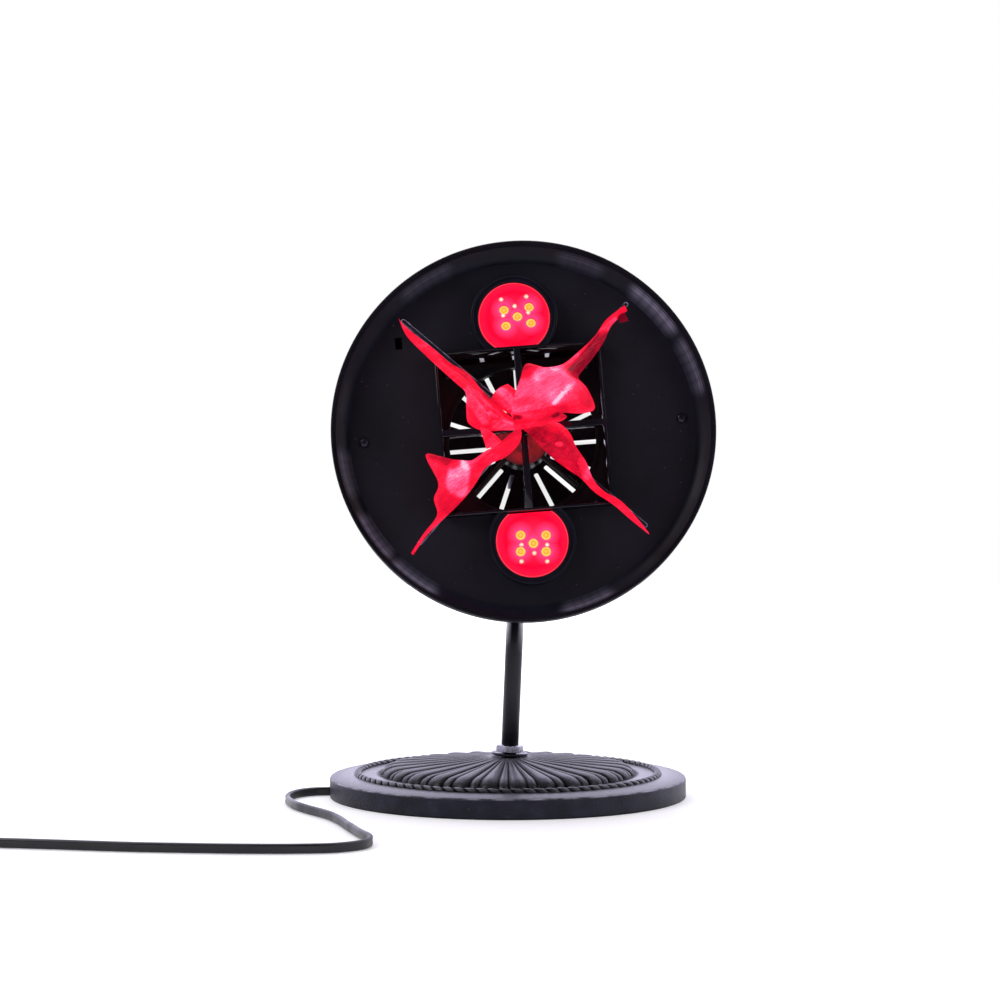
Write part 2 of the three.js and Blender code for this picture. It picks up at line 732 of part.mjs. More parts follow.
function rearBowl() {
  const lapRadius = dishRadius - dishWall - seatGap;
  const lapStart = skirtDepth - bowlLapDepth;
  const lapWall = dishWall * 0.7;
  const slantWall = dishWall * 1.3;
  const shell = solid(ring([
    [0, headDepth],
    [bowlRearRadius - bowlRearRound, headDepth],
    [bowlRearRadius - bowlRearRound * 0.2, headDepth - bowlRearRound * 0.4],
    [bowlRearRadius, bowlRearStart],
    [bowlShoulderRadius, bowlShoulderDepth],
    [lapRadius, plateDepth],
    [lapRadius, lapStart],
    [lapRadius - lapWall, lapStart],
    [lapRadius - lapWall, plateDepth],
    [bowlShoulderRadius - dishWall, bowlShoulderDepth - bowlInnerStep],
    [bowlRearRadius - slantWall, bowlRearStart - bowlInnerStep],
    [bowlRearRadius - bowlRearRound - dishWall, headDepth - dishWall],
    [0, headDepth - dishWall],
  ], 48));
  const studHole = solid(rodY(nippleRadius + seatGap, headDepth - 2 * dishWall, headDepth + cutOver));
  const windowWidth = switchWidth + 2 * seatGap;
  const windowHeight = switchHeight + 2 * seatGap;
  const window = box(windowWidth, 4 * dishWall, windowHeight, switchReach, headDepth);
  const body = joined(shell, ...bowlBosses());
  return piece('rear_bowl', 'blackPlastic', cutBy(body, ...bowlSlots(), ...bossHoles(), studHole, window));
}

// Lamps: a red filter in front of a cup with five diodes, a socket behind it
function filterDisc(name, side) {
  const z = lampHeight(side);
  const back = collarLedgeDepth - seatGap;
  const disc = solid(rodY(filterRadius, back - filterThickness, back, 0, z, 28));
  const cutHeight = 2 * filterFlatReach;
  const cutter = box(4 * filterRadius, 4 * filterThickness, cutHeight, 0, back, faceRise);
  return piece(name, 'redFilter', cutBy(disc, cutter));
}

function lampCup(name, side) {
  const z = lampHeight(side);
  const front = collarLedgeDepth + collarLedgeWall + seatGap;
  const cup = solid(revolve([
    [0, front + lampWell],
    [lampRadius - lampRimWall, front + lampWell],
    [lampRadius - lampRimWall, front],
    [lampRadius, front],
    [lampRadius, front + lampRimDepth],
    [lampNeckRadius, front + lampDepth],
    [0, front + lampDepth],
  ], 24).translate(0, 0, z));
  const places = [[0, 0], [1, 1], [-1, 1], [1, -1], [-1, -1]];
  const leds = places.map(([sx, sz]) => {
    const led = new THREE.SphereGeometry(ledRadius, 8, 5).scale(1, 0.8, 1);
    return solid(led.translate((sx * ledSpreadX) / 2, front + lampWell, z + (sz * ledSpreadZ) / 2));
  });
  return piece(name, 'amberLed', joined(cup, ...leds));
}

function lampSocket(name, side) {
  const front = collarLedgeDepth + collarLedgeWall + seatGap + lampDepth + seatGap;
  const middle = front + socketHeight / 2;
  const block = boxGeometry(socketSize, socketHeight, socketSize, 0, middle, lampHeight(side));
  return piece(name, 'whiteCeramic', block);
}

// Fan: square frame with a round barrel and diagonal struts, a rotor with twisted blades
const rotorFront = fanFront + fanStatorDepth + runGap;
const rotorRear = fanFront + fanDepth - runGap;

function fanFrame() {
  const back = fanFront + fanDepth;
  const flangeDepths = [fanFront + fanFlange / 2, back - fanFlange / 2];
  const flanges = flangeDepths.map((depth) => box(fanSize, fanFlange, fanSize, 0, depth, 0));
  const barrel = solid(rodY(fanSize / 2 - seatGap, fanFront, back, 0, 0, 36));
  const bore = solid(revolve([
    [0, fanFront - cutOver],
    [fanLipRadius, fanFront - cutOver],
    [fanLipRadius, fanFront + fanLipDepth],
    [fanBore, fanFront + fanLipDepth],
    [fanBore, back - fanFlareDepth],
    [fanFlareRadius, back],
    [fanFlareRadius, back + cutOver],
    [0, back + cutOver],
  ], 36));
  const half = fanHolePitch / 2;
  const holes = bothSides.flatMap((sx) => bothSides.map((sz) => solid(
    rodY(fanHoleRadius, fanFront - cutOver, back + cutOver, sx * half, sz * half, 12),
  )));
  const stator = solid(rodY(fanHubRadius, fanFront, fanFront + fanStatorDepth, 0, 0, 32));
  const strutLength = 2 * (fanBore + joinOver);
  const struts = [1, -1].map((side) => {
    const bar = boxGeometry(strutLength, fanStatorDepth, fanStrutWidth, 0, fanFront + fanStatorDepth / 2, 0);
    return solid(bar.rotateY((side * Math.PI) / 4));
  });
  const shaftHole = solid(rodY(pivotPinRadius + seatGap, fanFront + statorCap, rotorFront, 0, 0, 14));
  const shell = cutBy(joined(...flanges, barrel), bore, ...holes);
  return piece('fan_frame', 'blackPlastic', cutBy(joined(shell, stator, ...struts), shaftHole));
}

function bladeRow(radius, pitch) {
  const chord = ((2 * Math.PI * radius) / bladeCount) * bladeChordShare;
  const middle = (rotorFront + rotorRear) / 2;
  const chordShares = [-0.5, -0.17, 0.17, 0.5];
  const half = bladeThickness / 2;
  const edge = (share, side) => {
    const along = share * chord;
    const camber = bladeCamberShare * chord * (1 - 4 * share * share);
    const turn = (along * Math.cos(pitch)) / radius;
    const depth = middle + along * Math.sin(pitch) + camber + (side * half) / Math.cos(pitch);
    return new THREE.Vector3(radius * Math.sin(turn), depth, radius * Math.cos(turn));
  };
  const near = chordShares.map((share) => edge(share, -1));
  const far = chordShares.map((share) => edge(share, 1));
  return [...near, ...far.reverse()];
}

function fanRotor() {
  const hub = solid(rodY(rotorHubRadius, rotorFront, rotorRear, 0, 0, 28));
  const shaft = solid(rodY(pivotPinRadius, fanFront + statorCap + seatGap, rotorFront + joinOver, 0, 0, 14));
  const radii = [rotorHubRadius - joinOver, (rotorHubRadius + rotorTipRadius) / 2, rotorTipRadius];
  const pitchShares = [1, 0.78, 0.62];
  const blade = loopSkin(radii.map((radius, k) => bladeRow(radius, bladePitch * pitchShares[k])));
  const blades = Array.from({ length: bladeCount }, (_, k) => (
    solid(blade.clone().rotateY(bladeTurn + (k / bladeCount) * 2 * Math.PI))
  ));
  return piece('fan_rotor', 'blackPlastic', joined(hub, shaft, ...blades));
}

function hubLabel() {
  const back = fanFront - seatGap;
  return piece('hub_label', 'redLabel', rodY(labelRadius, back - labelThickness, back, 0, 0, 32));
}

function screw(name, depth, length, x, z) {
  const head = solid(rodY(screwHeadRadius, depth - seatGap - screwHeadHeight, depth - seatGap, x, z, 10));
  const shank = solid(rodY(screwRadius, depth - seatGap - joinOver, depth + length, x, z, 6));
  return piece(name, 'steel', joined(head, shank));
}

function headScrews() {
  const half = fanHolePitch / 2;
  const corners = [
    ['upper_right', 1, 1], ['upper_left', -1, 1], ['lower_right', 1, -1], ['lower_left', -1, -1],
  ];
  const fan = corners.map(([word, sx, sz]) => (
    screw(`fan_screw_${word}`, fanFront, fanScrewLength, sx * half, sz * half)
  ));
  return [
    ...fan,
    screw('plate_screw_right', plateDepth, plateScrewLength, plateScrewReach, faceRise),
    screw('plate_screw_left', plateDepth, plateScrewLength, -plateScrewReach, faceRise),
  ];
}

function powerSupply() {
  const front = plateDepth + dishWall + seatGap;
  const reach = ductOuter / 2 + supplyRoom + supplyWidth / 2;
  const block = boxGeometry(supplyWidth, supplyDepth, supplyHeight, -reach, front + supplyDepth / 2, 0);
  return piece('power_supply', 'whiteCeramic', block);
}

// Rocker switch: body clipped in the window, rocker on a cross axis behind its flange
function switchBody() {
  const flangeMiddle = headDepth + seatGap + switchFlangeDepth / 2;
  const flange = box(switchWidth + 2 * switchFlangeEdge + 2 * seatGap, switchFlangeDepth,
    switchHeight + 2 * switchFlangeEdge + 2 * seatGap, switchReach, flangeMiddle);
  const bodyFront = headDepth - switchBodyDepth;
  const body = box(switchWidth, switchBodyDepth + seatGap + cutOver, switchHeight,
    switchReach, (bodyFront + headDepth + seatGap + cutOver) / 2);
  const well = box(switchWidth - 2 * switchFlangeEdge, switchBodyDepth, switchHeight - 2 * switchFlangeEdge,
    switchReach, headDepth + switchWellSink);
  return piece('switch_body', 'blackPlastic', cutBy(joined(flange, body), well));
}

const rockerAxisDepth = headDepth - rockerAxisSink;

function switchRocker() {
  const width = switchWidth - 2 * switchFlangeEdge - 2 * seatGap;
  const half = switchHeight / 2 - switchFlangeEdge - seatGap;
  const face = headDepth + seatGap + switchFlangeDepth + rockerRise;
  const outline = new THREE.Shape([
    [-half * 0.8, rockerAxisDepth],
    [half * 0.8, rockerAxisDepth],
    [half * 0.85, face - rockerRise * 0.4],
    [0, face - rockerRise * 0.9],
    [-half * 0.85, face],
  ].map(([along, depth]) => new THREE.Vector2(along, depth)));
  const block = new THREE.ExtrudeGeometry(outline, { depth: width, bevelEnabled: false });
  block.translate(0, 0, -width / 2);
  block.applyMatrix4(new THREE.Matrix4().makeBasis(
    new THREE.Vector3(0, 0, 1), new THREE.Vector3(0, 1, 0), new THREE.Vector3(-1, 0, 0),
  ));
  return piece('switch_rocker', 'blackPlastic', block.translate(switchReach, 0, 0));
}

// Silk holder: four flat arms on a post that stands in the boss of the cross bars
function silkHolder() {
  const back = -armFront;
  const post = solid(rodY(holderPostRadius, back - armThickness, postBack - seatGap, 0, 0, 16));
  const arms = [1, 3].map((k) => {
    const bar = boxGeometry(2 * armReach - armWidth, armThickness, armWidth, 0, back - armThickness / 2, 0);
    return solid(bar.rotateY((k * Math.PI) / 4));
  });
  const tips = [1, 3, 5, 7].map((k) => {
    const turn = (k * Math.PI) / 4;
    const reach = armReach - armWidth / 2;
    const [x, z] = [reach * Math.cos(turn), reach * Math.sin(turn)];
    return solid(rodY(armWidth / 2, back - armThickness, back, x, z, 12));
  });
  return piece('silk_holder', 'glossPlastic', joined(post, ...arms, ...tips).translate(0, 0, faceRise));
}

// Silk flames: each row is [along, across, lift] of one edge and of the other, as shares of the arm reach,
// from the tip of the arm to the middle; the belly is how far the cloth bulges between its edges
const flameShares = {
  upper_left: {
    turn: 135,
    spanCount: 14,
    columns: 5,
    rows: [
      [0.983, 0.02, 0.006, 1.015, 0.008, 0.006, 0],
      [0.862, 0.019, 0.007, 0.905, 0.06, 0.02, 0.003],
      [0.729, 0.014, 0.012, 0.743, 0.08, 0.05, 0.008],
      [0.582, 0.017, 0.03, 0.594, 0.093, 0.09, 0.012],
      [0.456, -0.003, 0.06, 0.465, 0.102, 0.13, 0.02],
      [0.334, 0.023, 0.08, 0.374, 0.113, 0.17, 0.035],
      [0.239, 0.034, 0.1, 0.301, 0.191, 0.19, 0.055],
      [0.149, 0.04, 0.11, 0.236, 0.245, 0.17, 0.06],
      [0.087, 0.038, 0.1, 0.141, 0.215, 0.12, 0.045],
      [0.038, 0.037, 0.09, 0.06, 0.136, 0.1, 0.02],
      [-0.003, 0.034, 0.075, -0.01, 0.071, 0.075, 0],
    ],
  },
  upper_right: {
    turn: 45,
    spanCount: 20,
    columns: 8,
    rows: [
      [0.973, 0.001, 0.006, 0.956, -0.033, 0.01, 0],
      [0.83, 0.028, 0.01, 0.814, -0.022, 0.03, 0.004],
      [0.7, 0.013, 0.03, 0.708, -0.053, 0.06, 0.01],
      [0.556, 0.019, 0.08, 0.589, -0.07, 0.08, 0.02],
      [0.411, 0.038, 0.15, 0.464, -0.075, 0.11, 0.04],
      [0.31, 0.105, 0.22, 0.407, -0.093, 0.15, 0.07],
      [0.25, 0.197, 0.26, 0.385, -0.18, 0.19, 0.1],
      [0.15, 0.162, 0.28, 0.32, -0.291, 0.22, 0.12],
      [0.045, 0.12, 0.27, 0.247, -0.259, 0.23, 0.1],
      [-0.027, 0.077, 0.25, 0.171, -0.163, 0.22, 0.05],
      [-0.044, 0.054, 0.21, 0.173, -0.195, 0.19, 0.02],
      [-0.05, 0.014, 0.2, 0.115, -0.176, 0.185, 0.01],
      [-0.062, -0.028, 0.2, -0.032, -0.062, 0.2, 0],
    ],
  },
  lower_right: {
    turn: -45,
    spanCount: 14,
    columns: 5,
    rows: [
      [1.041, -0.031, 0.008, 1.026, -0.023, 0.008, 0],
      [0.912, -0.034, 0.009, 0.905, 0.001, 0.009, 0.001],
      [0.755, -0.033, 0.012, 0.778, 0.009, 0.05, 0.008],
      [0.612, -0.049, 0.02, 0.662, -0.017, 0.08, 0.015],
      [0.492, -0.041, 0.03, 0.564, -0.006, 0.11, 0.025],
      [0.387, -0.051, 0.035, 0.461, 0.045, 0.13, 0.04],
      [0.287, -0.058, 0.04, 0.35, 0.079, 0.13, 0.05],
      [0.2, -0.054, 0.045, 0.267, 0.12, 0.11, 0.045],
      [0.134, -0.046, 0.045, 0.167, 0.122, 0.09, 0.03],
      [0.074, -0.041, 0.04, 0.081, 0.05, 0.06, 0.01],
      [0.025, -0.042, 0.03, 0.026, -0.022, 0.03, 0],
    ],
  },
  lower_left: {
    turn: -135,
    spanCount: 14,
    columns: 5,
    rows: [
      [1.071, 0.019, 0.006, 1.07, 0.001, 0.006, 0],
      [0.922, 0.004, 0.01, 0.933, -0.017, 0.02, 0.003],
      [0.8, 0.014, 0.02, 0.794, -0.024, 0.07, 0.01],
      [0.696, 0.029, 0.05, 0.734, -0.098, 0.14, 0.03],
      [0.589, 0.037, 0.09, 0.648, -0.136, 0.19, 0.05],
      [0.489, 0.032, 0.12, 0.569, -0.301, 0.24, 0.06],
      [0.403, 0.019, 0.16, 0.494, -0.169, 0.22, 0.07],
      [0.34, 0.036, 0.2, 0.424, -0.075, 0.22, 0.05],
      [0.278, 0.074, 0.25, 0.319, -0.038, 0.26, 0.03],
      [0.21, 0.092, 0.29, 0.241, 0, 0.3, 0.02],
      [0.136, 0.085, 0.31, 0.158, 0.012, 0.32, 0.01],
      [0.085, 0.048, 0.32, 0.101, 0.031, 0.33, 0],
    ],
  },
};

function flameRow(row, turn, columns) {
  const [nearAlong, nearAcross, nearLift, farAlong, farAcross, farLift, belly] = row;
  return Array.from({ length: columns }, (_, i) => {
    const share = i / (columns - 1);
    const along = THREE.MathUtils.lerp(nearAlong, farAlong, share) * armReach;
    const across = THREE.MathUtils.lerp(nearAcross, farAcross, share) * armReach;
    const bulge = belly * Math.sin(Math.PI * share) - 0.35 * belly * Math.sin(2 * Math.PI * share);
    const lift = (THREE.MathUtils.lerp(nearLift, farLift, share) + bulge) * armReach;
    const x = along * Math.cos(turn) - across * Math.sin(turn);
    const z = along * Math.sin(turn) + across * Math.cos(turn);
    return new THREE.Vector3(x, -armFront - armThickness - lift, faceRise + z);
  });
}

// Rows at even steps along the middle of the cloth, so that its facets are about the same size
function flameGrid({ turn, spanCount, columns, rows }) {
  const fineCount = 160;
  const angle = THREE.MathUtils.degToRad(turn);
  const curves = rows[0].map((_, column) => (
    new THREE.CatmullRomCurve3(rows.map((row, i) => new THREE.Vector3(i, row[column], 0)))
  ));
  const rowAt = (share) => flameRow(curves.map((curve) => curve.getPoint(share).y), angle, columns);
  const fine = Array.from({ length: fineCount + 1 }, (_, k) => rowAt(k / fineCount));
  const steps = fine.slice(1).map((row, k) => {
    const moves = row.map((point, i) => point.distanceTo(fine[k][i]));
    return moves.reduce((sum, move) => sum + move) / moves.length;
  });
  const walked = steps.reduce((sums, step) => [...sums, sums.at(-1) + step], [0]);
  return Array.from({ length: spanCount + 1 }, (_, k) => {
    const goal = (walked.at(-1) * k) / spanCount;
    const next = Math.max(walked.findIndex((sum) => sum >= goal), 1);
    const share = (goal - walked[next - 1]) / steps[next - 1];
    return rowAt((next - 1 + share) / fineCount);
  });
}

// The cloth has its thickness at right angles to itself, also where it runs toward the viewer
function silkFlame(word) {
  const grid = flameGrid(flameShares[word]);
  const nearest = (list, i) => list[THREE.MathUtils.clamp(i, 0, list.length - 1)];
  const faced = (k, i) => {
    const down = nearest(grid, k + 1)[i].clone().sub(nearest(grid, k - 1)[i]);
    const over = nearest(grid[k], i + 1).clone().sub(nearest(grid[k], i - 1));
    return down.cross(over).setLength(silkThickness / 2);
  };
  const rings = grid.map((row, k) => {
    const front = row.map((point, i) => point.clone().add(faced(k, i)));
    const back = row.map((point, i) => point.clone().sub(faced(k, i)));
    return [...front, ...back.reverse()];
  });
  return piece(`silk_flame_${word}`, 'redSilk', loopSkin(rings));
}

// Cord: out of the nipple, through the notch of the base, past the left side and on to its coil
const cordMiddle = cordFloorGap + cordWidth / 2;
const coilOuterRadius = coilMeanRadius + coilStep * (coilLoops / 4);

const cordRoute = [
  [-24, -1.5], [-118, -5.5], [-131, -6.5], [-143, -9], [-152, -17], [-157, -29], [-158.5, -46],
  [-155.5, -63], [-149, -83], [-138, -104], [-123.8, -127.6], [-114, -152], [-107, -176], [-96, -212],
  [-88, -236], [-90, -256], [-106, -270], [-130, -274], [-165, -274], [-200, -271], [-240, -266],
  [-290, -256], [-340, -248],
];

function cordPoints() {
  const [coilX, coilY] = coilPlace;
  const entryY = coilY - coilOuterRadius;
  const rise = [
    [-1, 0, nippleBottom - 2.3], [-2.4, 0, nippleBottom - 5], [-6, -0.2, cordMiddle + 3],
    [-13, -0.8, cordMiddle + 0.5],
  ];
  const chain = [...rise, ...cordRoute.map(([x, y]) => [x, y, cordMiddle])];
  const meet = coilX + coilDiameter + seatGap;
  chain.push([meet + coilDiameter, entryY, cordMiddle], [meet, entryY, cordMiddle]);
  const places = chain.map((point) => new THREE.Vector3(...point));
  const curve = new THREE.CatmullRomCurve3(places, false, 'centripetal');
  return curve.getSpacedPoints(50);
}

function powerCord() {
  return piece('power_cord', 'cordPlastic', ovalTube(cordPoints(), cordThickness, cordWidth, 8));
}

function coilPoints() {
  const [coilX, coilY] = coilPlace;
  const layerLoops = coilLoops / 2;
  const stepsPerLoop = 24;
  const count = (coilLoops + 0.25) * stepsPerLoop;
  const low = cordFloorGap + coilDiameter / 2;
  const points = Array.from({ length: count + 1 }, (_, k) => {
    const loops = k / stepsPerLoop;
    const inward = Math.min(loops, 2 * layerLoops - loops);
    const radius = coilOuterRadius - coilStep * Math.max(inward, loops > layerLoops ? inward : 0);
    const climb = THREE.MathUtils.smoothstep(loops, layerLoops - 0.25, layerLoops + 0.25);
    const turn = -Math.PI / 2 - loops * 2 * Math.PI;
    const x = coilX + radius * Math.cos(turn);
    return new THREE.Vector3(x, coilY + radius * Math.sin(turn), low + climb * coilLayerStep);
  });
  points.unshift(points[0].clone().add(new THREE.Vector3(coilDiameter, 0, 0)));
  points.push(points[points.length - 1].clone().add(new THREE.Vector3(0, coilDiameter, 0)));
  return points;
}

function leastSelfGap(points, diameter) {
  let least = Infinity;
  for (let i = 0; i < points.length; i += 1) {
    for (let j = i + 8; j < points.length; j += 1) {
      least = Math.min(least, points[i].distanceTo(points[j]) - diameter);
    }
  }
  return least;
}

function cordCoil() {
  const points = coilPoints();
  console.log(`least gap of the coil to itself: ${leastSelfGap(points, coilDiameter).toFixed(2)} mm`);
  return piece('cord_coil', 'cordPlastic', ovalTube(points, coilDiameter, coilDiameter, 6));
}

const plugSideShares = [[0.16, 0], [0.22, 0.35], [0.5, 0.62], [0.5, 1]];

function cordEnd() {
  const points = coilPoints();
  const end = points[points.length - 1];
  const start = end.clone().add(new THREE.Vector3(0, seatGap, 0));
  const plugZ = cordFloorGap + plugThickness / 2;
  const stop = new THREE.Vector3(end.x, end.y + tailLength, plugZ);
  const chain = [0, 0.25, 0.5, 0.75, 1].map((share) => {
    const point = start.clone().lerp(stop, share);
    point.z = THREE.MathUtils.lerp(start.z, stop.z, THREE.MathUtils.smoothstep(share, 0.1, 0.9));
    return point;
  });
  const tail = piece('cord_tail', 'cordPlastic', ovalTube(chain, cordThickness, coilDiameter, 8));
  const bodyStart = stop.y + seatGap;
  const outline = new THREE.Shape([
    ...plugSideShares,
    ...plugSideShares.map(([out, along]) => [-out, along]).reverse(),
  ].map(([out, along]) => new THREE.Vector2(plugWidth * out, bodyStart + plugLength * along)));
  const body = new THREE.ExtrudeGeometry(outline, { depth: plugThickness, bevelEnabled: false });
  const plug = piece('plug_body', 'cordPlastic', body.translate(stop.x, 0, cordFloorGap));
  const pinY = bodyStart + plugLength + seatGap + plugPinLength / 2;
  const pins = [['left', -1], ['right', 1]].map(([word, side]) => {
    const pinX = stop.x + (side * plugPinPitch) / 2;
    const pin = boxGeometry(plugPinThickness, plugPinLength, plugPinWidth, pinX, pinY, plugZ);
    return piece(`plug_pin_${word}`, 'brass', pin);
  });
  return [tail, plug, ...pins];
}

function coilTie() {
  const [coilX, coilY] = coilPlace;
  const inner = coilMeanRadius - coilStep * (coilLoops / 4) - coilDiameter / 2;
  const outer = coilOuterRadius + coilDiameter / 2;
  const gap = 2 * seatGap;
  const low = cordFloorGap;
  const high = cordFloorGap + coilLayerStep + coilDiameter + gap;
  const width = outer - inner + 2 * gap + 2 * tieThickness;
  const middle = coilX + (inner + outer) / 2;
  const height = high + tieThickness;
  const block = box(width, tieWidth, height, middle, coilY, height / 2);
  const hollowWidth = width - 2 * tieThickness;
  const hollow = box(hollowWidth, tieWidth + cutOver, high, middle, coilY, (high - cutOver) / 2);
  return piece('cord_tie', 'cordPlastic', cutBy(block, hollow));
}

// Assembly: base and cord stand still, the stem turns on the base, the head tilts on the knuckle
const headParts = new THREE.Group();
headParts.position.set(0, -pivotDepth, 0);
headParts.add(
  frontMoulding(),
  rearBowl(),
  bossNut(),
  fanFrame(),
  fanRotor(),
  hubLabel(),
  ...headScrews(),
  powerSupply(),
  switchBody(),
  switchRocker(),
  silkHolder(),
  ...Object.keys(flameShares).map((word) => silkFlame(word)),
);
for (const [word, side] of [['upper', 1], ['lower', -1]]) {
  headParts.add(filterDisc(`red_filter_${word}`, side));
  headParts.add(lampCup(`lamp_${word}`, side));
  headParts.add(lampSocket(`lamp_socket_${word}`, side));
}

const rolledHead = new THREE.Group();
rolledHead.rotation.y = -headRoll;
rolledHead.add(headParts);

const tiltingHead = new THREE.Group();
tiltingHead.position.set(0, stemBackReach, pivotHeight);
tiltingHead.rotation.x = -headTilt;
tiltingHead.add(upperKnuckle(), rolledHead);

const leaningStem = new THREE.Group();
leaningStem.rotation.y = stemLean;
leaningStem.add(...stemClamp(), stemTube(), stemLead(), lowerKnuckle(), pivotScrew(), pivotKnob());
leaningStem.add(tiltingHead);

const lamp = new THREE.Group();
lamp.name = 'flame_effect_lamp';
lamp.add(baseCasting(), powerCord(), cordCoil(), ...cordEnd(), coilTie(), leaningStem);

export default lamp;
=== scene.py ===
# %% [markdown]
# # Flame effect lamp
# A round black dish with a fan, two red lamps and four silk flames stands on a bent tube and a cast base.
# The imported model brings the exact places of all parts. This script gives each part its real surface.
# It works in metres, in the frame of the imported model: the dish faces -Y and the base stands on z = 0.

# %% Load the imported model
from math import atan2, cos, pi, radians, sin, sqrt, tau

import bmesh
import bpy
from mathutils import Matrix, Vector, noise


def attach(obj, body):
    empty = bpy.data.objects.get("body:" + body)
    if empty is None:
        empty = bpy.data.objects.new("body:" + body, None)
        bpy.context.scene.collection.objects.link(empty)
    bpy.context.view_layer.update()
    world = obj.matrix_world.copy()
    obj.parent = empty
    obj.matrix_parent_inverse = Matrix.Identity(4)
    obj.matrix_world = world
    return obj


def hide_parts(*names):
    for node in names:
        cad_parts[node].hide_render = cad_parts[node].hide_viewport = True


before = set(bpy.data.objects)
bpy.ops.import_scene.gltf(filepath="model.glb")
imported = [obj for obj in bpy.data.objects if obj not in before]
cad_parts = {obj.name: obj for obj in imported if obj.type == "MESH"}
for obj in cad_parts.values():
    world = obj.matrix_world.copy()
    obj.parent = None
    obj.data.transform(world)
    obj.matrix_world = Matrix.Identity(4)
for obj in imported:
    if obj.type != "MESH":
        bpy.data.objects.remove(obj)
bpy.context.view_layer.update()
MM = 0.001

# %% [markdown]
# The camera comes first, because everything else is judged through it. The photograph was taken level, from
# 1.6 m in front of the lamp and 218 mm above the table. The curve of the base's rim gave the height and the
# distance, and the lens follows from the size of the dish in the picture.

# %% Camera
CAMERA_PLACE = Vector((-5.8, -1629, 218)) * MM
LENS = 79.24
SENSOR_WIDTH = 36


def in_scene(name, data):
    """Puts a camera, a light, a curve or a mesh into the scene as an object."""
    thing = bpy.data.objects.new(name, data)
    bpy.context.scene.collection.objects.link(thing)
    return thing


camera_data = bpy.data.cameras.new("camera")
camera_data.lens = LENS
camera_data.sensor_width = SENSOR_WIDTH
camera_data.sensor_fit = "HORIZONTAL"
camera = in_scene("camera", camera_data)
camera.location = CAMERA_PLACE
camera.rotation_euler = (radians(90), 0, 0)
bpy.context.scene.camera = camera
bpy.context.scene.view_settings.view_transform = "Standard"
print("camera", [round(c, 3) for c in CAMERA_PLACE], "lens", LENS)

# %% [markdown]
# Three places carry everything: the ground, the leaning axis of the stem, and the head. The stem leans a
# little to the right. The head tips back on its knuckle and turns in its own plane. In the head's own
# numbers x runs to the right, y is the depth behind the rim of the dish and z runs up. The plate with the
# duct and the lamps sits a little higher than the rim, so it has a place of its own, the face.

# %% Places of the stem and the head
STEM_LEAN = radians(2.4)
HEAD_TILT = radians(7.5)
HEAD_ROLL = radians(6.9)
STEM_BACK = 87
PIVOT_HEIGHT = 254.5
PIVOT_DEPTH = 120
FACE_RISE = 1.8


def moved(x, y, z):
    return Matrix.Translation(Vector((x, y, z)) * MM)


GROUND = Matrix.Identity(4)
STEM = Matrix.Rotation(STEM_LEAN, 4, "Y")
PIVOT = STEM @ moved(0, STEM_BACK, PIVOT_HEIGHT)
KNUCKLE = PIVOT @ Matrix.Rotation(-HEAD_TILT, 4, "X")
HEAD = KNUCKLE @ Matrix.Rotation(-HEAD_ROLL, 4, "Y") @ moved(0, -PIVOT_DEPTH, 0)
FACE = HEAD @ moved(0, 0, FACE_RISE)
print("rim centre of the dish", [round(c, 4) for c in HEAD.translation])

# %% [markdown]
# All shapes are written in millimetres, as on a drawing, and turned into metres when they become a piece.
# A finished piece gets smooth shading with sharp edges kept, its finish, and the body that it moves with.

# %% Helpers that turn a mesh in progress into a finished piece
TO_METRES = Matrix.Scale(MM, 4)


def mesh_of(name, shape):
    """Ends the work on a shape and gives back a mesh that an object can carry."""
    mesh = bpy.data.meshes.new(name)
    shape.to_mesh(mesh)
    shape.free()
    return mesh


def shape_of(thing):
    """The final form of an object, with its sweep or its modifiers worked out, as a shape to go on with."""
    bpy.context.view_layer.update()
    evaluated = thing.evaluated_get(bpy.context.evaluated_depsgraph_get())
    shape = bmesh.new()
    shape.from_mesh(bpy.data.meshes.new_from_object(evaluated))
    return shape


def finished(name, shape, finish, stands_for="", place=FACE, body="head", sharp=35):
    """Makes a shape a piece. The words in stands_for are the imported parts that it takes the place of."""
    shape.transform(place @ TO_METRES)
    mesh = mesh_of(name, shape)
    mesh.materials.append(finish)
    mesh.shade_smooth()
    mesh.set_sharp_from_angle(angle=radians(sharp))
    piece = in_scene(name, mesh)
    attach(piece, body)
    if stands_for:
        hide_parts(*stands_for.split())
    print(f"{name}: {len(mesh.polygons)} faces on {body}")
    return piece


# %% [markdown]
# Most parts of this lamp are turned shapes or cut blocks. A turned shape is a profile of (radius, height)
# pairs that a spin carries round an axis. A cut block is a cube whose edges get a small bevel, because no
# moulded or machined edge is perfectly sharp and the thin highlight on it is what the eye looks for.

# %% Turned shapes, blocks and softened edges
AXES = {"X": Vector((1, 0, 0)), "Y": Vector((0, 1, 0)), "Z": Vector((0, 0, 1))}
LEFT_AND_RIGHT = (("right", 1), ("left", -1))
UP_AND_DOWN = (("upper", 1), ("lower", -1))
CORNERS = [(x, z) for x in (1, -1) for z in (1, -1)]


def cleaned(shape):
    bmesh.ops.remove_doubles(shape, verts=shape.verts, dist=0.001)
    bmesh.ops.recalc_face_normals(shape, faces=shape.faces)
    return shape


def turned(profile, steps, axis="Y"):
    """Spins a profile. One that starts away from the axis is closed from its last point to its first."""
    shape = bmesh.new()
    along = AXES[axis]
    out = AXES["Y"] if axis == "X" else AXES["X"]
    verts = [shape.verts.new(out * radius + along * height) for radius, height in profile]
    ends = verts[1:] + verts[:1] if profile[0][0] > 0 else verts[1:]
    edges = [shape.edges.new(pair) for pair in zip(verts, ends)]
    bmesh.ops.spin(shape, geom=verts + edges, cent=(0, 0, 0), axis=along, angle=tau, steps=steps,
                   use_merge=True)
    return cleaned(shape)


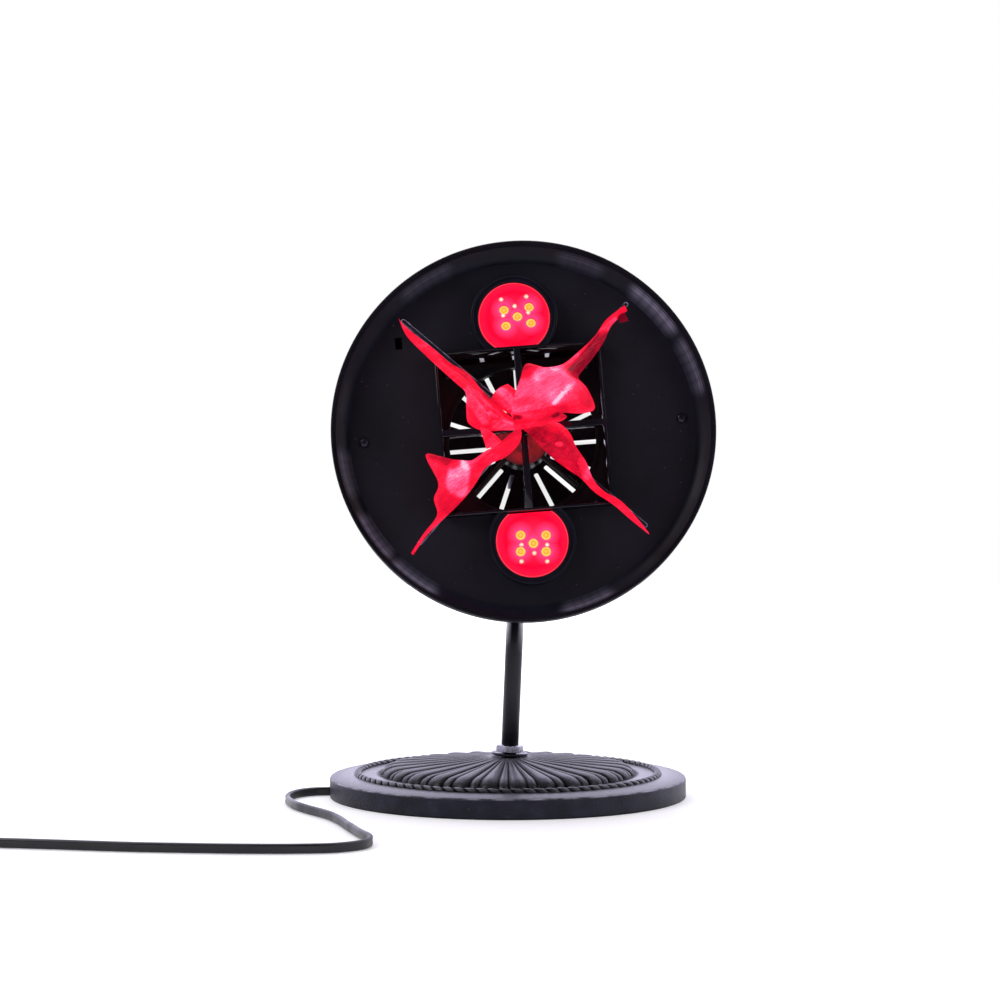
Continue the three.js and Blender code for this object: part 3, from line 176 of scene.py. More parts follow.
def block(size, middle=(0, 0, 0)):
    shape = bmesh.new()
    bmesh.ops.create_cube(shape, size=1, matrix=Matrix.Translation(middle) @ Matrix.Diagonal((*size, 1)))
    return shape


def bevelled(shape, edges, width, segments, clamp=False):
    bmesh.ops.bevel(shape, geom=edges, offset=width, segments=segments, affect="EDGES", profile=0.5,
                    material=-1, clamp_overlap=clamp)
    return shape


def softened(shape, width, segments=2, least_angle=30):
    least = radians(least_angle)
    edges = [edge for edge in shape.edges if edge.is_manifold and edge.calc_face_angle() > least]
    return bevelled(shape, edges, width, segments, clamp=True)


def round_sided(shape, radius, segments):
    """Rounds the edges that run along the depth."""
    along = [edge for edge in shape.edges if abs(edge.verts[0].co.y - edge.verts[1].co.y) > 1]
    return bevelled(shape, along, radius, segments)


def open_box(size, middle):
    """A block without its front and its back."""
    shape = block(size, middle)
    ends = [face for face in shape.faces if abs(face.normal.y) > 0.9]
    bmesh.ops.delete(shape, geom=ends, context="FACES")
    return shape


def thickened(shape, thickness):
    bmesh.ops.recalc_face_normals(shape, faces=shape.faces)
    bmesh.ops.solidify(shape, geom=shape.faces[:], thickness=thickness)
    return shape


def merged(*shapes):
    """Puts several shapes into the first one."""
    whole = shapes[0]
    for part in shapes[1:]:
        mesh = mesh_of("part", part)
        whole.from_mesh(mesh)
        bpy.data.meshes.remove(mesh)
    return whole


def placed(shape, x=0, y=0, z=0, turn=0):
    shape.transform(Matrix.Translation((x, y, z)) @ Matrix.Rotation(turn, 4, "Y"))
    return shape


def rod(radius, start, end, x=0, z=0, steps=48):
    return placed(turned([(0, start), (radius, start), (radius, end), (0, end)], steps), x, 0, z)


def cut_out(shape, *cutters):
    """Cuts other shapes out of one with the Boolean modifier."""
    blank = in_scene("blank", mesh_of("blank", shape))
    tools = []
    for cutter in cutters:
        tools.append(in_scene("tool", mesh_of("tool", cutter)))
        cut = blank.modifiers.new("cut", "BOOLEAN")
        cut.operation = "DIFFERENCE"
        cut.solver = "EXACT"
        cut.object = tools[-1]
    result = shape_of(blank)
    for extra in (blank, *tools):
        bpy.data.objects.remove(extra)
    return result


def sliced(shape, height, side):
    """Cuts away what lies between the middle of the head and a height, and closes the cut."""
    geometry = shape.verts[:] + shape.edges[:] + shape.faces[:]
    bmesh.ops.bisect_plane(shape, geom=geometry, plane_co=(0, 0, side * height), plane_no=(0, 0, -side),
                           clear_outer=True)
    bmesh.ops.holes_fill(shape, edges=[edge for edge in shape.edges if edge.is_boundary])
    return shape


# %% [markdown]
# Every finish starts from the same fine grain and the same dust, so these two are node groups. The grain
# gives a height for the bump and a mask for roughness. The dust is a sparse field of small pale specks.

# %% Shared surface effects
def new_group(name, inputs, outputs):
    group = bpy.data.node_groups.new(name, "ShaderNodeTree")
    for label, default in inputs.items():
        socket = group.interface.new_socket(label, in_out="INPUT", socket_type="NodeSocketFloat")
        socket.default_value = default
    for label in outputs:
        group.interface.new_socket(label, in_out="OUTPUT", socket_type="NodeSocketFloat")
    return group, group.nodes.new("NodeGroupInput"), group.nodes.new("NodeGroupOutput")


def node(tree, kind, **settings):
    made = tree.nodes.new("ShaderNode" + kind)
    for label, value in settings.items():
        setattr(made, label, value)
    return made


def feed(tree, socket, value):
    """Links a socket to another node's output, or sets it to a plain value."""
    if isinstance(value, bpy.types.NodeSocket):
        tree.links.new(value, socket)
    else:
        socket.default_value = value


def dressed(tree, made, **values):
    """Feeds several inputs of a node by name, with _ for a space."""
    for label, value in values.items():
        feed(tree, made.inputs[label.replace("_", " ")], value)
    return made


def maths(tree, operation, *values):
    made = node(tree, "Math", operation=operation)
    for socket, value in zip(made.inputs, values):
        feed(tree, socket, value)
    return made.outputs[0]


def times(tree, first, *others):
    for other in others:
        first = maths(tree, "MULTIPLY", first, other)
    return first


def spread(tree, value, low, high, to_low=0.0, to_high=1.0):
    """Stretches the range from low to high over another range, and holds the value inside it."""
    labels = {"Value": value, "From Min": low, "From Max": high, "To Min": to_low, "To Max": to_high}
    return dressed(tree, node(tree, "MapRange"), **labels).outputs["Result"]


def here(tree):
    """The place on the object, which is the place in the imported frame."""
    return node(tree, "TexCoord").outputs["Object"]


def axes_of(tree, vector):
    split = node(tree, "SeparateXYZ")
    tree.links.new(vector, split.inputs["Vector"])
    return split.outputs


def away_from(tree, place):
    """The distance from a place, in metres."""
    away = node(tree, "VectorMath", operation="DISTANCE")
    tree.links.new(here(tree), away.inputs[0])
    away.inputs[1].default_value = place
    return away.outputs["Value"]


def noise_value(tree, scale, detail=2.0, vector=None):
    made = node(tree, "TexNoise")
    dressed(tree, made, Scale=scale, Detail=detail, Vector=vector or here(tree))
    return made.outputs["Fac"]


def build_grain():
    group, inward, outward = new_group("fine_grain", {"Scale": 1500.0, "Patches": 40.0}, ("Height", "Mask"))
    fine = noise_value(group, inward.outputs["Scale"], 3.0)
    patches = noise_value(group, inward.outputs["Patches"], 4.0)
    dressed(group, outward, Height=fine, Mask=spread(group, patches, 0.35, 0.65))
    return group


def build_dust():
    group, inward, outward = new_group("dust", {"Scale": 260.0, "Size": 0.05}, ("Specks",))
    cells = dressed(group, node(group, "TexVoronoi"), Vector=here(group), Scale=inward.outputs["Scale"])
    split = dressed(group, node(group, "SeparateColor"), Color=cells.outputs["Color"])
    near = maths(group, "LESS_THAN", cells.outputs["Distance"], inward.outputs["Size"])
    rare = maths(group, "GREATER_THAN", split.outputs["Red"], 0.86)
    dressed(group, outward, Specks=times(group, near, rare))
    return group


GRAIN = build_grain()
DUST = build_dust()
print("effects:", GRAIN.name, DUST.name)

# %% [markdown]
# A finish is one Principled shader. Its colours are written as the photograph shows them, on the usual
# scale of 0 to 255, and converted to the linear values that the shader works with.

# %% Helpers for finishes
def linear(*colour):
    return tuple(c / 3294.6 if c <= 10.31 else ((c / 255 + 0.055) / 1.055) ** 2.4 for c in colour) + (1.0,)


def new_finish(name, **plain):
    material = bpy.data.materials.new(name)
    material.use_nodes = True
    tree = material.node_tree
    return material, tree, dressed(tree, tree.nodes["Principled BSDF"], **plain)


def placed_group(tree, group, **values):
    return dressed(tree, node(tree, "Group", node_tree=group), **values).outputs


def mixed(tree, share, first, second):
    """Between two colours, each of them a node's output or three numbers up to 255."""
    first, second = (linear(*c) if isinstance(c, tuple) else c for c in (first, second))
    mix = dressed(tree, node(tree, "Mix", data_type="RGBA"), Factor=share, A=first, B=second)
    return mix.outputs["Result"]


def stepped_ramp(tree, value, stops):
    """A colour ramp from a list of places between 0 and 1 with the colour at each."""
    ramp = dressed(tree, node(tree, "ValToRGB"), Fac=value)
    first, last = ramp.color_ramp.elements
    first.position, first.color = stops[0][0], linear(*stops[0][1])
    last.position, last.color = stops[-1][0], linear(*stops[-1][1])
    for place, colour in stops[1:-1]:
        ramp.color_ramp.elements.new(place).color = linear(*colour)
    return ramp.outputs["Color"]


def bumped(tree, shader, height, strength, distance):
    bump = dressed(tree, node(tree, "Bump"), Strength=strength, Distance=distance, Height=height)
    dressed(tree, shader, Normal=bump.outputs["Normal"])


def glowing(tree, shader, colour, strength):
    dressed(tree, shader, Base_Color=colour, Emission_Color=colour, Emission_Strength=strength)


def painted_over(material, share, colour):
    """Lays another colour over a finish where the share is above 0."""
    tree = material.node_tree
    shader = tree.nodes["Principled BSDF"]
    below = shader.inputs["Base Color"].links[0].from_socket
    dressed(tree, shader, Base_Color=mixed(tree, share, below, colour))
    return material


def grained_finish(name, dark, pale, rough, bump, scale, patches, dust=0.0, dust_size=0.05, **plain):
    """A plastic, paint or cast surface: two tones in soft patches, fine grain and, if asked for, dust."""
    material, tree, shader = new_finish(name, **plain)
    grain = placed_group(tree, GRAIN, Scale=float(scale), Patches=float(patches))
    colour = mixed(tree, grain["Mask"], dark, pale)
    if dust:
        specks = placed_group(tree, DUST, Size=dust_size)["Specks"]
        colour = mixed(tree, times(tree, specks, dust), colour, (190, 190, 200))
    dressed(tree, shader, Base_Color=colour, Roughness=spread(tree, grain["Mask"], 0.0, 1.0, *rough))
    bumped(tree, shader, grain["Height"], 1.0, bump)
    return material


# %% [markdown]
# The stage is a pale floor and a white surrounding. The floor is white to the camera but still takes the
# lamp's soft shadow. The world is white to the camera. To the lamp it is bright behind and dim in front, as
# in a studio where only the background is lit, which keeps the black parts black.

# %% Floor, world and lights
FLOOR_HALF = 4000
LIGHT_BOXES = (("left_box", (-1.3, -1.0, 1.3), 0.25, 0.9, 0.9, 14),
               ("right_box", (1.4, -0.9, 0.9), 0.25, 0.7, 0.9, 9),
               ("top_box", (0.0, 0.5, 1.5), 0.1, 1.6, 0.9, 16))


def build_floor():
    shape = bmesh.new()
    bmesh.ops.create_grid(shape, x_segments=1, y_segments=1, size=FLOOR_HALF)
    shape.transform(TO_METRES)
    floor = in_scene("floor", mesh_of("floor", shape))
    material, tree, shader = new_finish("white_table", Roughness=0.6, Base_Color=(0.86, 0.86, 0.87, 1.0),
                                        Specular_IOR_Level=0.2, Emission_Color=(1.0, 1.0, 1.0, 1.0))
    rays = node(tree, "LightPath")
    glow = spread(tree, away_from(tree, (0, 0, 0)), 0.45, 1.1, 0.3, 1.0)
    direct = times(tree, rays.outputs["Is Camera Ray"], glow)
    mirrored = times(tree, rays.outputs["Is Glossy Ray"], 0.3)
    dressed(tree, shader, Emission_Strength=maths(tree, "ADD", direct, mirrored))
    floor.data.materials.append(material)


def build_world():
    world = bpy.data.worlds.new("studio")
    bpy.context.scene.world = world
    world.use_nodes = True
    tree = world.node_tree
    rays = node(tree, "LightPath")
    depth = axes_of(tree, node(tree, "TexCoord").outputs["Generated"])["Y"]
    behind = spread(tree, depth, -0.05, 0.5, 0.05, 1.0)
    mirrored = times(tree, rays.outputs["Is Glossy Ray"], times(tree, behind, 2.2))
    seen = maths(tree, "MAXIMUM", rays.outputs["Is Camera Ray"], behind)
    tint = mixed(tree, rays.outputs["Is Camera Ray"], (232, 228, 255), (255, 255, 255))
    dressed(tree, tree.nodes["Background"], Color=tint, Strength=maths(tree, "MAXIMUM", seen, mirrored))


def soft_light(name, place, aim_height, width, height, power):
    data = bpy.data.lights.new(name, "AREA")
    data.shape = "RECTANGLE"
    data.size = width
    data.size_y = height
    data.energy = power
    light = in_scene(name, data)
    light.location = place
    toward = Vector((0, 0, aim_height)) - Vector(place)
    light.rotation_euler = toward.to_track_quat("-Z", "Y").to_euler()


build_floor()
build_world()
for light_box in LIGHT_BOXES:
    soft_light(*light_box)
print("stage ready with", len(LIGHT_BOXES), "lights")

# %% [markdown]
# The cord is a flat black twin lead of 1.8 m that stands on its narrow edge. The photograph shows a quarter
# of a metre of it. It drops out of the hollow base, leaves through a notch in the rim, turns toward the
# viewer and then to the left. The rest is wound into a coil past the left edge of the picture, held by a
# strap, with the plug beside it. A cord could be swept by hand, but a curve with a bevel outline is quicker:
# it gives the two joined cores and the groove between them in one go.

# %% Route of the cord
NIPPLE_BOTTOM = 14.43
CORD_WIDTH = 6.4
CORD_THICKNESS = 3.8
FLOOR_GAP = 0.2
CORD_LEVEL = FLOOR_GAP + CORD_WIDTH / 2
COIL_MIDDLE = (-385, -205)
COIL_OUTER = 41.0
COIL_STEP = 5.6
COIL_LAYER_STEP = 6.9
COIL_LOOPS = 5
COIL_DIAMETER = 5
COIL_POINTS_PER_LOOP = 24
TAIL_LENGTH = 26
PLUG_THICKNESS = 15
CORD_RISE = [
    (-1, 0, NIPPLE_BOTTOM - 2.3), (-2.4, 0, NIPPLE_BOTTOM - 5), (-6, -0.2, CORD_LEVEL + 3),
    (-13, -0.8, CORD_LEVEL + 0.5), (-24, -1.5, CORD_LEVEL),
]
CORD_RUN = [
    (-118, -5.5), (-131, -6.5), (-143, -9), (-152, -17), (-157, -29), (-158.5, -46), (-155.5, -63),
    (-149, -83), (-138, -104), (-123.8, -127.6), (-114, -152), (-107, -176), (-96, -212), (-88, -236),
    (-90, -256), (-106, -270), (-130, -274), (-165, -274), (-200, -271), (-240, -266), (-290, -256),
    (-340, -248),
]


def eased(value, low, high):
    share = min(max((value - low) / (high - low), 0), 1)
    return share * share * (3 - 2 * share)


def coil_route():
    """A flat spiral inward on the floor, a step up, and a spiral outward on top of it."""
    half = COIL_LOOPS / 2
    points = []
    for k in range(int((COIL_LOOPS + 0.25) * COIL_POINTS_PER_LOOP) + 1):
        loops = k / COIL_POINTS_PER_LOOP
        radius = COIL_OUTER - COIL_STEP * min(loops, COIL_LOOPS - loops)
        step_up = eased(loops, half - 0.25, half + 0.25) * COIL_LAYER_STEP
        height = FLOOR_GAP + COIL_DIAMETER / 2 + 0.7 + step_up
        turn = -pi / 2 - loops * tau
        points.append((COIL_MIDDLE[0] + radius * cos(turn), COIL_MIDDLE[1] + radius * sin(turn), height))
    return points


def rounded_route(points, steps):
    """A smooth line through the points, whose corners are as round as the distances allow."""
    line = [Vector(p) for p in points]
    line = [line[0] * 2 - line[1], *line, line[-1] * 2 - line[-2]]
    route = []
    for p0, p1, p2, p3 in zip(line, line[1:], line[2:], line[3:]):
        d1, d2, d3 = (sqrt((b - a).length) for a, b in ((p0, p1), (p1, p2), (p2, p3)))
        near = ((p1 - p0) / d1 - (p2 - p0) / (d1 + d2) + (p2 - p1) / d2) * d2
        far = ((p2 - p1) / d2 - (p3 - p1) / (d2 + d3) + (p3 - p2) / d3) * d2
        count = max(2, int((p2 - p1).length / steps))
        for k in range(count):
            t = k / count
            route.append(p1 + near * t + (p2 * 3 - p1 * 3 - near * 2 - far) * t ** 2
                         + (p1 * 2 - p2 * 2 + near + far) * t ** 3)
    return route + [line[-2]]


coil_points = coil_route()
coil_end = coil_points[-1]
PLUG_LEVEL = FLOOR_GAP + PLUG_THICKNESS / 2
tail_points = [
    (coil_end[0], coil_end[1] + 5.3 + TAIL_LENGTH * share,
     coil_end[2] + (PLUG_LEVEL - coil_end[2]) * eased(share, 0.1, 0.9)) for share in (0.25, 0.5, 0.75, 1.1)
]
cord_points = CORD_RISE + [(x, y, CORD_LEVEL) for x, y in CORD_RUN] + coil_points + tail_points
cord_route = rounded_route(cord_points, 3.5)
cord_length = sum((b - a).length for a, b in zip(cord_route, cord_route[1:])) * MM
print(f"cord: {len(cord_points)} points, {cord_length:.3f} m")

# %% [markdown]
# The sleeve of the cord is soft vinyl: nearly black, half matt, with fine grain and a little dust on it.

# %% Cord sleeve and the sweep of the cord
cord_vinyl = grained_finish("cord_vinyl", (7, 7, 11), (16, 16, 23), (0.3, 0.5), 0.00004, 900, 60, 0.25, 0.08)


def cord_outline():
    """Two round cores side by side with a groove between them, as a closed line."""
    core = CORD_THICKNESS / 2
    reach = CORD_WIDTH / 2 - core
    points = []
    for k in range(24):
        turn = tau * k / 24
        up = sin(turn)
        swell = core * (1 - 0.26 * max(0.0, 1 - abs(up) / 0.3))
        shift = (reach if up > 0 else -reach) * min(1, abs(up) * 3)
        points.append((swell * cos(turn), up * core + shift))
    return points


def line_curve(name, points, closed=False):
    data = bpy.data.curves.new(name, "CURVE")
    line = data.splines.new("POLY")
    line.points.add(len(points) - 1)
    for point, place in zip(line.points, points):
        point.co = (*(place * MM), 1)
    line.use_cyclic_u = closed
    return data


def swept(route, outline):
    """Carries a flat outline along a route, with its second direction kept upright."""
    edge = line_curve("outline", [Vector((across, up, 0)) for across, up in outline], closed=True)
    edge.dimensions = "2D"
    edge.fill_mode = "NONE"
    edge_object = in_scene("outline", edge)
    data = line_curve("sweep", route)
    data.dimensions = "3D"
    data.twist_mode = "Z_UP"
    data.bevel_mode = "OBJECT"
    data.bevel_object = edge_object
    data.use_fill_caps = True
    curve = in_scene("sweep", data)
    shape = shape_of(curve)
    bpy.data.objects.remove(curve)
    bpy.data.objects.remove(edge_object)
    shape.transform(Matrix.Scale(1 / MM, 4))
    return cleaned(shape)


mains_cord = finished("mains_cord", swept(cord_route, cord_outline()), cord_vinyl,
                      "power_cord cord_coil cord_tail", GROUND, "base", sharp=70)

# %% [markdown]
# The plug is a moulded body with a waist that swells from the cord to the pin face. It starts as a row of
# squarish rings, each with its own width and thickness, that are bridged and closed. The bevel rounds the
# two ends off like soft vinyl. The two flat pins stay as packed.

# %% Plug and the strap round the coil
PLUG_LENGTH = 36
PLUG_WIDTH = 25
PLUG_START = coil_end[1] + 5 + 0.3 + TAIL_LENGTH + 0.3
PLUG_SLICES = ((0, 0.34, 0.62), (0.12, 0.36, 0.66), (0.2, 0.4, 0.74), (0.35, 0.52, 0.84), (0.5, 0.8, 0.94),
               (0.62, 0.97, 1.0), (0.9, 1.0, 1.0), (1.0, 0.97, 0.96))
STRAP_MARGIN = 4.2
STRAP_WIDTH = 9
STRAP_THICKNESS = 1.1
PLUG_SQUARENESS = 0.45


def plug_shape():
    shape = bmesh.new()
    rings = []
    for share, wide, thick in PLUG_SLICES:
        verts = bmesh.ops.create_circle(shape, segments=20, radius=0.5)["verts"]
        for v in verts:
            x, y = v.co.x * 2, v.co.y * 2
            square = max(abs(x), abs(y)) ** PLUG_SQUARENESS
            v.co = Vector((x / square * PLUG_WIDTH / 2 * wide * 0.98, PLUG_LENGTH * share,
                           y / square * PLUG_THICKNESS / 2 * thick * 0.98))
        rings.append([edge for edge in shape.edges if edge.verts[0] in verts and edge.verts[1] in verts])
    for near, far in zip(rings, rings[1:]):
        bmesh.ops.bridge_loops(shape, edges=near + far)
    bmesh.ops.holes_fill(shape, edges=shape.edges)
    bmesh.ops.recalc_face_normals(shape, faces=shape.faces)
    return softened(shape, 0.9, 3, 50)


def strap_shape():
    """A flat band bent round one side of the coil, closed on top by its own end."""
    inner, outer = COIL_OUTER - COIL_STEP * COIL_LOOPS / 2 - STRAP_MARGIN, COIL_OUTER + STRAP_MARGIN
    low, high = FLOOR_GAP, FLOOR_GAP + COIL_LAYER_STEP + CORD_WIDTH + 0.9
    sizes = (outer - inner, STRAP_WIDTH, high - low + 0.2)
    band = open_box(sizes, ((inner + outer) / 2, 0, (low + high) / 2))
    return softened(thickened(round_sided(band, STRAP_MARGIN, 5), STRAP_THICKNESS), 0.25, 2, 50)


plug = finished("plug_shell", placed(plug_shape(), coil_end[0], PLUG_START, PLUG_LEVEL), cord_vinyl,
                "plug_body", GROUND, "base", sharp=50)
strap = finished("coil_strap", placed(strap_shape(), *COIL_MIDDLE), cord_vinyl,
                 "cord_tie", GROUND, "base")

# %% [markdown]
# The base is one iron casting: a flat plate with a rounded edge, a rope bead lying on it, and a low dome with
# flutes. Twenty-eight wide flutes alternate with narrow ones and fan out from the middle like a shell. The
# casting is turned first, with many steps round. Then each point of the dome is moved in or out by the
# height of the flute that it lies on. A lathe could not do that, but a pattern maker works the same way.
# Grooves and the dome's foot get painted shade, the upper edge a painted highlight. Only the crests shine.

# %% Casting of the base
BASE_RADIUS = 131.3
BASE_RIM = 14.4
BASE_STEP = 16.2
BASE_WALL = 4
BASE_STEPS = 560
DOME_FOOT = 94
DOME_LAND = 15
FLUTE_PAIRS = 28
FLUTE_DEPTH = 2.1
WIDE_SHARE = 0.66
ROPE_RADIUS = 110.7
ROPE_LEVEL = BASE_STEP + 0.2
ROPE_STRANDS = 86
ROPE_SLANT = 1.6
STEM_HOLE = 6.6
ROPE_HALF_WIDTH = 2.9
ROPE_HALF_HEIGHT = 2.6
CORD_NOTCH = (8, 10, 16)
CORD_NOTCH_Y = -6
DOME_LINE = ((15, 28.6), (17.5, 28.3), (22, 27.8), (29, 27.2), (38, 26.6), (48, 25.9), (58, 25.2),
             (67, 24.5), (75, 23.9), (81, 23.4), (85.5, 22.8), (88.5, 21.9), (90.8, 20.7), (92.3, 19.3),
             (93.4, 17.8), (94, 16.2))


def flute_share(share):
    """How high the surface stands at a share of a turn: 0 in a groove, 1 on a wide ridge."""
    pair = (share * FLUTE_PAIRS) % 1
    if pair < WIDE_SHARE:
        return sin(pi * pair / WIDE_SHARE) ** 0.55
    return 0.6 * sin(pi * (pair - WIDE_SHARE) / (1 - WIDE_SHARE)) ** 0.55


def rounded_corner(reach, height, radius, angles):
    """Points on a quarter of a circle in a profile, whose outermost and highest points are given."""
    turns = [radians(angle) for angle in angles]
    return [(reach - radius + radius * sin(turn), height - radius + radius * cos(turn)) for turn in turns]


def casting_shape():
    edge = rounded_corner(BASE_RADIUS, BASE_RIM, 1.6, (0, 22, 45, 68, 90))
    foot = [(BASE_RADIUS - 0.5 + 0.5 * cos(radians(a)), 0.5 - 0.5 * sin(radians(a))) for a in (0, 45, 90)]
    flat = [(95.2, BASE_STEP), (100, BASE_STEP), (113.5, BASE_STEP), (117, BASE_STEP - 0.25),
            (123, BASE_STEP - 0.9)]
    inside, ceiling = BASE_RADIUS - BASE_WALL, BASE_RIM - BASE_WALL
    under = [(inside, 0), (inside, ceiling), (88, ceiling + 1), (80, 18.4), (19, 23.6)]
    outline = [(STEM_HOLE, 28.6), *DOME_LINE, *flat, *edge, *foot, *under, (STEM_HOLE, 23.6)]
    shape = turned(outline, BASE_STEPS, "Z")
    for v in shape.verts:
        reach = Vector((v.co.x, v.co.y)).length
        share = (reach - DOME_LAND) / (DOME_FOOT - DOME_LAND)
        if 0.001 < share < 1.001 and v.co.z > 23.5 - 5 * share - 4 * (share > 0.97):
            lobe = flute_share((atan2(v.co.y, v.co.x) / tau) % 1)
            depth = FLUTE_DEPTH * (lobe - 1) * (0.3 + 0.7 * eased(share, 0.0, 0.5)) * eased(share, 0.0, 0.05)
            pull = 1 + depth * eased(share, 0.85, 0.97) * 1.1 / reach
            v.co.x, v.co.y = v.co.x * pull, v.co.y * pull
            v.co.z = max(BASE_STEP, v.co.z + depth * (1 - eased(share, 0.93, 1.0)))
    return cut_out(shape, softened(block(CORD_NOTCH, (-BASE_RADIUS, CORD_NOTCH_Y, 0)), 1.5, 2))


def flute_crest(tree, reach, turn):
    """1 on the ridges of the dome and outside it, 0 down in the grooves and the corner at the dome's foot."""
    pair = maths(tree, "FRACT", times(tree, turn, FLUTE_PAIRS / tau))
    wide = maths(tree, "SINE", spread(tree, pair, 0.0, WIDE_SHARE, 0.0, pi))
    narrow = maths(tree, "SINE", spread(tree, pair, WIDE_SHARE, 1.0, 0.0, pi))
    lobe = spread(tree, maths(tree, "MAXIMUM", wide, narrow), 0.0, 0.75)
    outside = spread(tree, reach, (DOME_FOOT - 1.5) * MM, (DOME_FOOT + 3.5) * MM)
    inside = spread(tree, reach, 20 * MM, 30 * MM, 1.0, 0.0)
    plain = maths(tree, "MAXIMUM", outside, inside)
    from_foot = maths(tree, "ABSOLUTE", maths(tree, "SUBTRACT", reach, (DOME_FOOT + 0.5) * MM))
    corner = spread(tree, spread(tree, from_foot, 0.0, 3 * MM), 0.0, 1.0, 0.25, 1.0)
    return times(tree, maths(tree, "MAXIMUM", lobe, plain), corner)


def rope_crest(tree, reach, turn, height):
    """1 on the back of a strand, 0 in the line between two strands."""
    around = maths(tree, "ARCTAN2", maths(tree, "SUBTRACT", height, ROPE_LEVEL * MM),
                   maths(tree, "SUBTRACT", reach, ROPE_RADIUS * MM))
    along = times(tree, turn, ROPE_STRANDS / 2)
    wave = maths(tree, "SINE", maths(tree, "ADD", along, times(tree, around, ROPE_SLANT / 2)))
    return spread(tree, maths(tree, "ABSOLUTE", wave), 0.15, 0.65)


def cast_finish(name, rope=False):
    """Slate paint on a sand casting, glossy on top, with painted shade in grooves and a painted edge
    highlight.
    """
    material, tree, shader = new_finish(name, Metallic=0.1, Coat_Roughness=0.26)
    x, y, height = axes_of(tree, here(tree))
    reach = maths(tree, "SQRT", maths(tree, "ADD", times(tree, x, x), times(tree, y, y)))
    turn = maths(tree, "ARCTAN2", y, x)
    crest = rope_crest(tree, reach, turn, height) if rope else flute_crest(tree, reach, turn)
    grain = placed_group(tree, GRAIN, Scale=1300.0, Patches=70.0)
    # Painted light and shade: the side wall gets a lighter copy of the slate and the top a darker one.
    wall = mixed(tree, grain["Mask"], (26, 26, 38), (42, 42, 57))
    top = mixed(tree, grain["Mask"], (8, 8, 15), (30, 30, 44))
    paint = mixed(tree, spread(tree, height, (BASE_RIM - 1) * MM, BASE_RIM * MM), wall, top)
    # Painted shade along the bottom of the wall, where it meets the floor.
    paint = mixed(tree, spread(tree, height, 0.3 * MM, 1.8 * MM), (3, 3, 5), paint)
    specks = placed_group(tree, DUST, Size=0.1)["Specks"]
    paint = mixed(tree, times(tree, specks, 0.25), paint, (150, 148, 165))
    # A painted highlight along the upper edge of the rim, broken up by noise.
    painted_edge_highlight = times(tree, spread(tree, reach, (BASE_RADIUS - 1.1) * MM, (BASE_RADIUS - 0.4) * MM),
                 spread(tree, height, (BASE_RIM - 1.2) * MM, (BASE_RIM - 0.4) * MM),
                 spread(tree, noise_value(tree, 60.0, 4.0), 0.42, 0.6))
    paint = mixed(tree, painted_edge_highlight, paint, (176, 173, 190))
    dull_wall = spread(tree, height, 12.5 * MM, 14 * MM, 0.5, 1.0)
    coat = times(tree, spread(tree, height, 13.5 * MM, 16 * MM, 0.03, 0.5),
                 spread(tree, height, 17.5 * MM, 19.5 * MM, 1.0, 0.3))
    # Painted shade, (3, 3, 6), in the base colour down in the grooves, at the dome's foot and between the
    # rope's strands.
    dressed(tree, shader, Base_Color=mixed(tree, crest, (3, 3, 6), paint),
            Roughness=spread(tree, crest, 0.0, 1.0, 0.85, 0.42),
            Specular_IOR_Level=times(tree, spread(tree, crest, 0.0, 1.0, 0.02, 0.42), dull_wall),
            Coat_Weight=times(tree, crest, coat))
    bumped(tree, shader, maths(tree, "ADD", grain["Height"], noise_value(tree, 650.0, 3.0)), 1.0, 0.0003)
    return material


finished("base_casting_fluted", casting_shape(), cast_finish("cast_slate"), "base_casting",
         GROUND, "base", sharp=50)

# %% [markdown]
# The rope bead is a ring with eighty-six slanting strands. It starts as a plain ring of round section. Each
# of its points is then moved in or out along a wave that winds round the section once per strand.

# %% Rope bead
def rope_shape():
    turns = [tau * k / 14 for k in range(14)]
    section = [(ROPE_RADIUS + ROPE_HALF_WIDTH * cos(turn), ROPE_LEVEL + ROPE_HALF_HEIGHT * sin(turn))
               for turn in turns]
    shape = turned(section, ROPE_STRANDS * 8, "Z")
    for v in shape.verts:
        turn = atan2(v.co.y, v.co.x)
        reach = Vector((v.co.x, v.co.y)).length
        around = atan2(v.co.z - ROPE_LEVEL, reach - ROPE_RADIUS)
        wave = abs(sin((turn * ROPE_STRANDS + around * ROPE_SLANT) / 2))
        middle = Vector((cos(turn) * ROPE_RADIUS, sin(turn) * ROPE_RADIUS, ROPE_LEVEL))
        v.co = middle + (v.co - middle) * (0.56 + 0.44 * wave ** 0.5)
    return shape


finished("rope_bead", rope_shape(), cast_finish("cast_rope", rope=True), "", GROUND, "base",
         sharp=60)

# %% [markdown]
# The clamp of the stem is made of bought parts: a brass nipple with a thread, plated washers with a dished
# rim and plated hex nuts. A nut's corners are cut by a cone, so it is a six-sided bar cut by a turned tool.

# %% Washers, nuts and nipple
plated = grained_finish("plated_steel", (140, 138, 152), (176, 174, 188), (0.22, 0.36), 0.00001, 700, 300,
                        Metallic=1.0)
brass = grained_finish("brass_thread", (150, 118, 62), (192, 160, 92), (0.24, 0.4), 0.00001, 900, 200,
                       Metallic=1.0)
dark_plate = grained_finish("darkened_steel", (34, 34, 44), (60, 58, 70), (0.2, 0.35), 0.00001, 700, 60,
                            Metallic=0.7)
NUT_FLATS = 17.8
NUT_HEIGHT = 5
NUT_TURN = -17.8
WASHER_BOTTOM = 29.465
NUT_BOTTOM = 31.765
LOWER_WASHER_TOP = 22.735
WASHER_HEIGHT = 2.3
NIPPLE_TOP = 49.07
THREAD_PITCH = 1.0


def washer_shape(bottom, up=1):
    rim = [(5.4, 0), (12.9, 0), (13.5, 0.5), (13.5, 1.5), (13.0, 2.0), (12.2, 1.9), (11.0, 1.35),
           (9.6, 1.25), (5.4, 1.25)]
    return turned([(radius, bottom + up * height) for radius, height in rim], 64, "Z")


